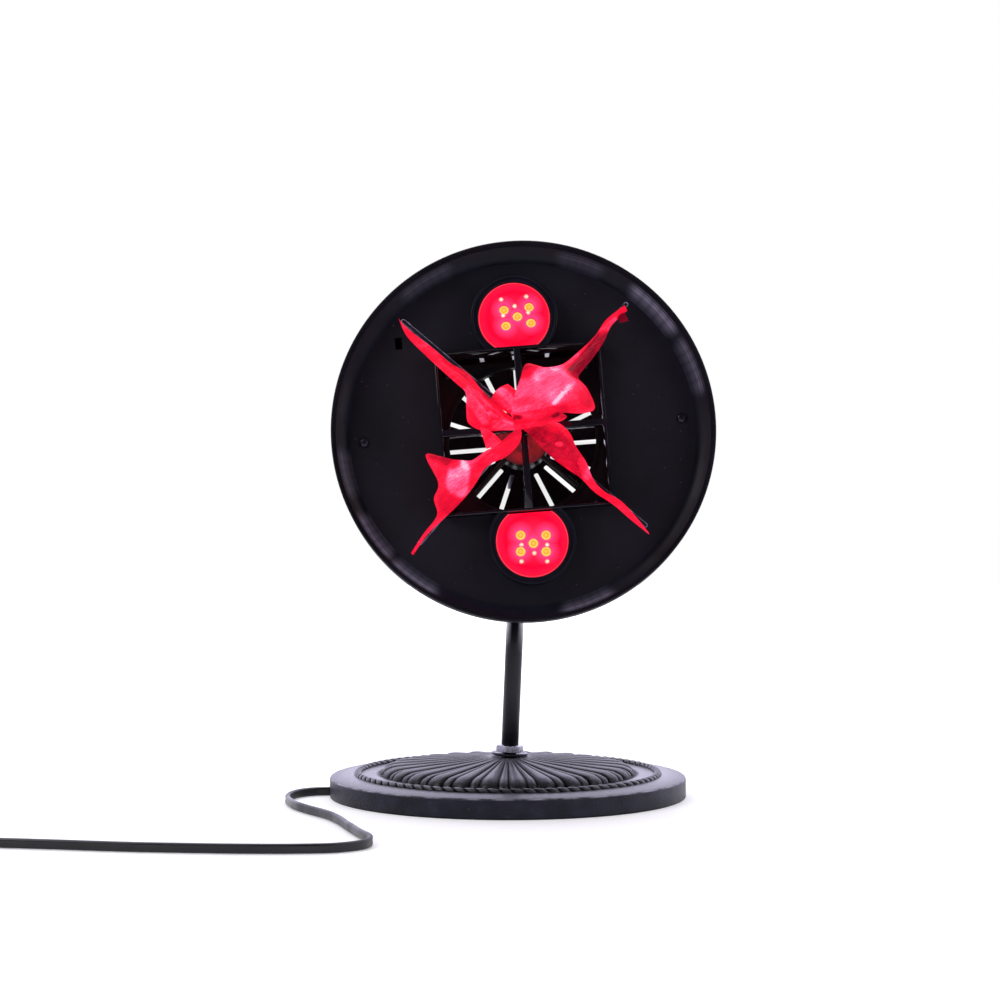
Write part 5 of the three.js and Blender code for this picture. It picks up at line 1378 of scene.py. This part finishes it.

# %% [markdown]
# Each flame is one piece of red silk. Its corner is tied to the end of an arm, and the other end is gathered
# in the middle, where the stream of air lifts it. A cloth simulation in a draught never stops at the moment
# that the photograph shows, so each flame is laid out from listed rows: a flat grid whose rows run from the
# tip of the arm to the middle. A row says where its two edges lie along and across the arm and how far they
# are lifted, as shares of the arm's reach, and how far the cloth bellies out between them. A stroke of light
# and shade is painted on the red: paler where light shines through, deeper where shade falls. It runs from
# one point of the face to another in millimetres, with a width and a strength. A fold is a small turned-over
# patch with four corners, a lift and a bow.

# %% Silk flames
FLAME_ROWS = {
    "upper_left": (135, [
        (0.983, 0.02, 0.006, 1.015, 0.008, 0.006, 0), (0.862, 0.019, 0.007, 0.905, 0.06, 0.02, 0.003),
        (0.729, 0.014, 0.012, 0.743, 0.08, 0.05, 0.008), (0.582, 0.017, 0.03, 0.594, 0.093, 0.09, 0.012),
        (0.456, -0.003, 0.06, 0.465, 0.102, 0.13, 0.02), (0.334, 0.023, 0.08, 0.374, 0.113, 0.17, 0.035),
        (0.239, 0.034, 0.1, 0.301, 0.191, 0.19, 0.055), (0.149, 0.04, 0.11, 0.236, 0.245, 0.17, 0.06),
        (0.087, 0.038, 0.1, 0.141, 0.215, 0.12, 0.045), (0.038, 0.037, 0.09, 0.06, 0.136, 0.1, 0.02),
        (-0.003, 0.034, 0.075, -0.01, 0.071, 0.075, 0)]),
    "upper_right": (45, [
        (0.973, 0.001, 0.006, 0.956, -0.033, 0.01, 0), (0.83, 0.028, 0.01, 0.814, -0.022, 0.03, 0.004),
        (0.7, 0.013, 0.03, 0.708, -0.053, 0.06, 0.01), (0.556, 0.019, 0.08, 0.589, -0.07, 0.08, 0.02),
        (0.411, 0.038, 0.15, 0.464, -0.075, 0.11, 0.04), (0.31, 0.105, 0.22, 0.407, -0.093, 0.15, 0.07),
        (0.25, 0.197, 0.26, 0.385, -0.18, 0.19, 0.1), (0.15, 0.162, 0.28, 0.32, -0.291, 0.22, 0.12),
        (0.045, 0.12, 0.27, 0.247, -0.259, 0.23, 0.1), (-0.027, 0.077, 0.25, 0.171, -0.163, 0.22, 0.05),
        (-0.044, 0.054, 0.21, 0.173, -0.195, 0.19, 0.02), (-0.05, 0.014, 0.2, 0.115, -0.176, 0.185, 0.01),
        (-0.062, -0.028, 0.2, -0.032, -0.062, 0.2, 0)]),
    "lower_right": (-45, [
        (1.041, -0.031, 0.008, 1.026, -0.023, 0.008, 0), (0.912, -0.034, 0.009, 0.905, 0.001, 0.009, 0.001),
        (0.755, -0.033, 0.012, 0.778, 0.009, 0.05, 0.008), (0.612, -0.049, 0.02, 0.662, -0.017, 0.08, 0.015),
        (0.492, -0.041, 0.03, 0.564, -0.006, 0.11, 0.025), (0.387, -0.051, 0.035, 0.461, 0.045, 0.13, 0.04),
        (0.287, -0.058, 0.04, 0.35, 0.079, 0.13, 0.05), (0.2, -0.054, 0.045, 0.267, 0.12, 0.11, 0.045),
        (0.134, -0.046, 0.045, 0.167, 0.122, 0.09, 0.03), (0.074, -0.041, 0.04, 0.081, 0.05, 0.06, 0.01),
        (0.025, -0.042, 0.03, 0.026, -0.022, 0.03, 0)]),
    "lower_left": (-135, [
        (1.071, 0.019, 0.006, 1.07, 0.001, 0.006, 0), (0.922, 0.004, 0.01, 0.933, -0.017, 0.02, 0.003),
        (0.8, 0.014, 0.02, 0.794, -0.024, 0.07, 0.01), (0.696, 0.029, 0.05, 0.734, -0.098, 0.14, 0.03),
        (0.589, 0.037, 0.09, 0.648, -0.136, 0.19, 0.05), (0.489, 0.032, 0.12, 0.569, -0.301, 0.24, 0.06),
        (0.403, 0.019, 0.16, 0.494, -0.169, 0.22, 0.07), (0.34, 0.036, 0.2, 0.424, -0.075, 0.22, 0.05),
        (0.278, 0.074, 0.25, 0.319, -0.038, 0.26, 0.03), (0.21, 0.092, 0.29, 0.241, 0, 0.3, 0.02),
        (0.136, 0.085, 0.31, 0.158, 0.012, 0.32, 0.01), (0.085, 0.048, 0.32, 0.101, 0.031, 0.33, 0)]),
}
SILK_ROWS = 90
SILK_COLUMNS = 36
SILK_THICKNESS = 0.22
SILK_FRONT = ARM_FRONT - 2.3
SILK_LIGHT_AND_SHADE = {
    "upper_left": [(-40.3, 20.1, -28, 1.4, 5, 0.4), (-37, 25, -15, 5, 2.4, 0.25), (-24, 20, -12, 8, 5, -0.35),
                   (-20, -2.6, -9, -4.5, 4, 0.4), (-24.4, 5.5, -9, -1.5, 1.8, 0.35),
                   (-30, 6, -22, -3, 2, -0.12), (-15, 19, -9, 12, 6, 0.55), (-62, 62, -80, 82, 3, 0.2),
                   (-34, 32, -52, 50, 4, -0.3)],
    "upper_right": [(4, 14, 20, 20, 19, 0.42), (20, 20, 34, 18, 15, 0.16), (21.5, 5, 36.2, 18.8, 2.0, 0.45),
                    (40, 44, 24, 33, 4, 0.3), (62, 56, 38, 29, 6.5, -0.8), (45, 8, 48, 12, 7, -0.3),
                    (2, 33, 6, 38, 8, -0.5), (-4, -1, 28, 0, 4, -0.3), (72, 69, 62, 61, 3, 0.3),
                    (78, 69.5, 82, 70, 5, -1.2), (-7, 0.5, -2.5, -0.3, 1.4, -0.75),
                    (20.5, -1.4, 24, -0.3, 1.3, -0.5)],
    "lower_left": [(-51, -44.5, -49, -35, 9, 0.6), (-43, -30, -18, -13, 5, 0.28),
                   (-64, -21, -53, -27, 7, -0.5), (-59, -55, -48, -62, 8, -0.3), (-15, -12, -6, -8, 7, -0.3)],
    "lower_right": [(8, -9, 30, -34, 14, -0.4), (0, -6, 14.9, -21.4, 5, -0.22), (8, -9, 26, -20, 5, -0.2),
                    (22.3, -19.2, 24.7, -20.2, 1.7, 0.8), (39, -34, 42, -43, 4, 0.4),
                    (28, -38, 34, -46, 3, 0.3)],
}
SILK_FOLDS = {
    "upper_left": [(((-23.5, 14.5), (-9.5, 26.5), (-3.5, 21), (-8, 3)), 14, 3.5)],
    "upper_right": [(((74.5, 71.5), (75, 67), (81.5, 68.2), (79.5, 74)), 1.2, 0.4),
                    (((-9, 5), (3, 4), (4, -7), (-7, -8)), 17, 4)],
    "lower_left": [(((-32.2, -5.2), (-21.5, -11.2), (-15.5, -18.5), (-28.5, -21)), 26, 2)],
}
SILK_CUTS = {"upper_left": (0.032, 0.129, 0.0021), "upper_right": (0.067, 0.15, 0.0038),
             "lower_right": (0.027, 0.124, 0.0016), "lower_left": (0.046, 0.133, 0.0023)}
# Colours from deep painted shade to pale painted light on the red silk.
SILK_SHADE_TO_LIGHT_STOPS = ((0, (96, 2, 24)), (0.3, (205, 9, 44)), (0.5, (248, 16, 52)), (0.66, (255, 48, 88)),
              (0.86, (255, 98, 150)), (1, (255, 190, 214)))


def along_rows(rows, share):
    """The row at a share of the way from the first to the last, on a smooth line through all of them."""
    place = share * (len(rows) - 1)
    k = min(int(place), len(rows) - 2)
    t = place - k
    p0, p1, p2, p3 = (rows[min(max(k + step, 0), len(rows) - 1)] for step in (-1, 0, 1, 2))
    return [0.5 * (2 * b + (c - a) * t + (2 * a - 5 * b + 4 * c - d) * t * t
                   + (3 * b - a - 3 * c + d) * t ** 3)
            for a, b, c, d in zip(p0, p1, p2, p3)]


def light_and_shade_at(strokes, x, z):
    """How much painted light, above 0, or painted shade, below 0, lies on the cloth at a place."""
    total = 0
    for x1, z1, x2, z2, width, strength in strokes:
        start, run = Vector((x1, z1)), Vector((x2 - x1, z2 - z1))
        share = min(max((Vector((x, z)) - start).dot(run) / run.length_squared, 0), 1)
        near = (Vector((x, z)) - start - run * share).length / width
        total += strength * min(max(1 - near * near, 0) * 2.2, 1)
    return total


def fold_shape(corners, lift, bow):
    shape = bmesh.new()
    bmesh.ops.create_grid(shape, x_segments=16, y_segments=16, size=0.5)
    a, b, c, d = (Vector((x, 0, z)) for x, z in corners)
    for v in shape.verts:
        over, down = v.co.x + 0.5, v.co.y + 0.5
        place = a.lerp(b, over).lerp(d.lerp(c, over), down)
        swell = sin(pi * over) * (1 - down) * bow * 0.6
        depth = ARM_FRONT - 2 - lift - bow * sin(pi * over) * (0.3 + sin(pi * down))
        v.co = Vector((place.x - swell * 0.6, depth, place.z + swell))
    return shape


def silk_shape(word):
    turn, rows = FLAME_ROWS[word]
    angle = radians(turn)
    shape = bmesh.new()
    bmesh.ops.create_grid(shape, x_segments=SILK_COLUMNS, y_segments=SILK_ROWS, size=0.5)
    for v in shape.verts:
        down, across = v.co.y + 0.5, v.co.x + 0.5
        near_a, near_c, near_l, far_a, far_c, far_l, belly = along_rows(rows, down)
        a = (near_a + (far_a - near_a) * across) * ARM_REACH
        c = (near_c + (far_c - near_c) * across) * ARM_REACH
        bulge = belly * sin(pi * across) - 0.35 * belly * sin(tau * across)
        lift = (near_l + (far_l - near_l) * across + bulge) * ARM_REACH
        fold = noise.noise(Vector((across * 5, down * 2.5, turn))) * 2.2
        fold += noise.noise(Vector((across * 14, down * 5, turn))) * 0.7
        lift += max(fold * eased(down, 0.05, 0.3) * (1 - eased(down, 0.85, 1.0)), -lift * 0.5)
        v.co = Vector((a * cos(angle) - c * sin(angle), SILK_FRONT - lift, a * sin(angle) + c * cos(angle)))
    folds = [fold_shape(*fold) for fold in SILK_FOLDS.get(word, [])]
    shape = thickened(merged(shape, *folds), SILK_THICKNESS)
    # Painted light and shade is stored on each point of the mesh.
    layer = shape.verts.layers.float.new("light_and_shade")
    for v in shape.verts:
        v[layer] = light_and_shade_at(SILK_LIGHT_AND_SHADE[word], v.co.x, v.co.z)
    return shape


def silk_finish():
    """Red silk with a painted glow. Light and shade are painted on the mesh; weave and creases are noise."""
    # The emission is a painted glow for the lamps' light that shines through the silk.
    material, tree, shader = new_finish("red_silk", Roughness=0.5, Emission_Strength=0.78,
                                        Specular_IOR_Level=0.08, Sheen_Weight=0.08, Sheen_Roughness=0.4,
                                        Sheen_Tint=linear(255, 130, 170))
    light_and_shade = node(tree, "Attribute", attribute_name="light_and_shade").outputs["Fac"]
    creases = noise_value(tree, 75.0, 7.0)
    weave = noise_value(tree, 1900.0, 1.0)
    drawn = dressed(tree, node(tree, "Mapping", vector_type="TEXTURE"), Vector=here(tree),
                    Rotation=(0.0, radians(-33), 0.0), Scale=(9.0, 3.0, 1.0))
    streaks = noise_value(tree, 900.0, 2.0, drawn.outputs["Vector"])
    fine = maths(tree, "ADD", spread(tree, weave, 0.3, 0.7, -0.15, 0.18),
                 spread(tree, streaks, 0.3, 0.7, -0.13, 0.13))
    # The crease noise paints light and shade into the colour as well as into the bump.
    waver = maths(tree, "ADD", spread(tree, creases, 0.3, 0.7, -0.24, 0.2), fine)
    colour = stepped_ramp(tree, spread(tree, maths(tree, "ADD", light_and_shade, waver), -1.0, 1.0), SILK_SHADE_TO_LIGHT_STOPS)
    dressed(tree, shader, Emission_Color=colour, Base_Color=mixed(tree, 0.45, colour, (90, 0, 16)))
    bumped(tree, shader, creases, 0.6, 0.0006)
    return material


red_silk = silk_finish()
for word, (width, length, area) in SILK_CUTS.items():
    flame = finished(f"silk_{word}", silk_shape(word), red_silk, f"silk_flame_{word}", sharp=80)

# %% [markdown]
# The knuckle behind the head is two cast ears side by side on one screw. The lower ear stands on a socket
# that grips the tube, the upper ear on a round flange with a threaded stud that enters the bowl. A fluted
# knob clamps them. All of it is turned parts and small blocks, merged and painted black.

# %% Knuckle, screw and knob
EAR_RADIUS = 11
EAR_DROP = 14
EAR_WIDTH = 5
EAR_GAP = 0.3
KNOB_START = 5.6
KNOB_GROOVES = 6
GROOVE_REACH = 10.5


def ear_shape(start):
    end = start + EAR_WIDTH
    return turned([(3.1, start), (10.4, start), (EAR_RADIUS, start + 0.6), (EAR_RADIUS, end - 0.6),
                   (10.4, end), (3.1, end)], 56, "X")


def lower_knuckle_shape():
    top = -EAR_DROP
    collar = turned([(3.4, top), (8.7, top), (9.5, top - 0.8), (9.5, top - 13.4), (8.9, top - 14),
                     (6.8, top - 14), (6.8, top - 3), (3.4, top - 3)], 56, "Z")
    neck = block((EAR_WIDTH, 15, 8), (EAR_GAP + EAR_WIDTH / 2, 0, top + 2.5))
    return merged(collar, softened(neck, 0.6), ear_shape(EAR_GAP))


def upper_knuckle_shape():
    flange = turned([(0, -30.7), (13.4, -30.7), (14, -30.1), (14, -28.3), (13.4, -27.7), (0, -27.7)], 56)
    shank = turned([(0, -28), (8.2, -28), (7.1, -26.5), (7.1, -12), (0, -12)], 40)
    zigzag = [point for k in range(11) for point in ((4.9, -41.6 + k), (4.45, -41.1 + k))]
    stud = turned([(0, -42), (4.4, -42), *zigzag, (4.5, -30), (0, -30)], 32)
    neck = block((EAR_WIDTH, 12, 15), (-EAR_GAP - EAR_WIDTH / 2, -9, 0))
    return merged(flange, shank, stud, softened(neck, 0.6), ear_shape(-EAR_GAP - EAR_WIDTH))


def knob_shape():
    start = KNOB_START
    body = turned([(3.1, start), (8.3, start), (9, start + 0.8), (9, start + 5), (8.0, start + 6),
                   (3.1, start + 6)], 64, "X")
    groove = [(0, start - 1), (2.9, start - 1), (2.9, start + 8), (0, start + 8)]
    turns = [tau * k / KNOB_GROOVES for k in range(KNOB_GROOVES)]
    grooves = [placed(turned(groove, 20, "X"), 0, GROOVE_REACH * cos(turn), GROOVE_REACH * sin(turn))
               for turn in turns]
    return cut_out(body, *grooves)


pin = turned([(0, -8.4), (4.6, -8.3), (5.5, -7.4), (5.6, -5.6), (2.8, -5.6), (2.8, 11.2), (2.3, 11.6),
              (0, 11.6)], 40, "X")
finished("socket_knuckle", lower_knuckle_shape(), black_enamel, "knuckle_lower", PIVOT, "stem")
finished("flanged_knuckle", upper_knuckle_shape(), black_enamel, "knuckle_upper", KNUCKLE)
finished("hinge_screw", pin, plated, "pivot_screw", PIVOT, "stem")
finished("clamp_knob", knob_shape(), dull_black, "pivot_knob", place=PIVOT, body="knob")

# %% [markdown]
# Four small parts finish the head: the nut on the stud inside the bowl, the power supply, and the switch
# with its rocker in the rear wall. The plug's pins and the lead inside the stem stay as packed and only get
# their finishes, because nothing about their form shows.

# %% Nut on the stud, power supply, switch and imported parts
SUPPLY_SIZE = (18, 34, 58)
SUPPLY_MIDDLE = (-74, 39.5, 0)
stud_nut = nut_shape(0)
stud_nut.transform(Matrix.Translation((0, 86.5, 0)) @ Matrix.Rotation(radians(90), 4, "X"))
supply = softened(block(SUPPLY_SIZE, SUPPLY_MIDDLE), 1.4, 3)
flange = softened(block((12.6, 1.4, 18), (SWITCH_REACH, 90, 0)), 0.5, 3)
frame_ring = cut_out(flange, block((7.3, 6, 12.7), (SWITCH_REACH, 90, 0)))
cavity = block((7.2, 11, 12.6), (SWITCH_REACH, 86.5, 0))
walls = cut_out(block((9.6, 11, 15), (SWITCH_REACH, 84.5, 0)), cavity)


def rocker_shape():
    shape = block((6.6, 4.6, 11.4), (SWITCH_REACH, 90.2, 0))
    for v in shape.verts:
        if v.co.y > 90:
            v.co.y = 92.2 if v.co.z < 0 else 90.9
            v.co.z *= 0.9
    return softened(shape, 0.5, 3)


finished("stud_nut", stud_nut, plated, "boss_nut", HEAD)
finished("supply_box", supply, ceramic, "power_supply", HEAD)
finished("switch_frame", merged(frame_ring, walls), gloss_black, "switch_body", place=HEAD)
finished("rocker_cap", rocker_shape(), satin_black, "switch_rocker", place=HEAD, body="rocker")
for name, finish in (("plug_pin_left", plated), ("plug_pin_right", plated), ("stem_lead", cord_vinyl)):
    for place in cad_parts[name].material_slots:
        place.material = finish
    print(name, "is the packed node with a new finish")
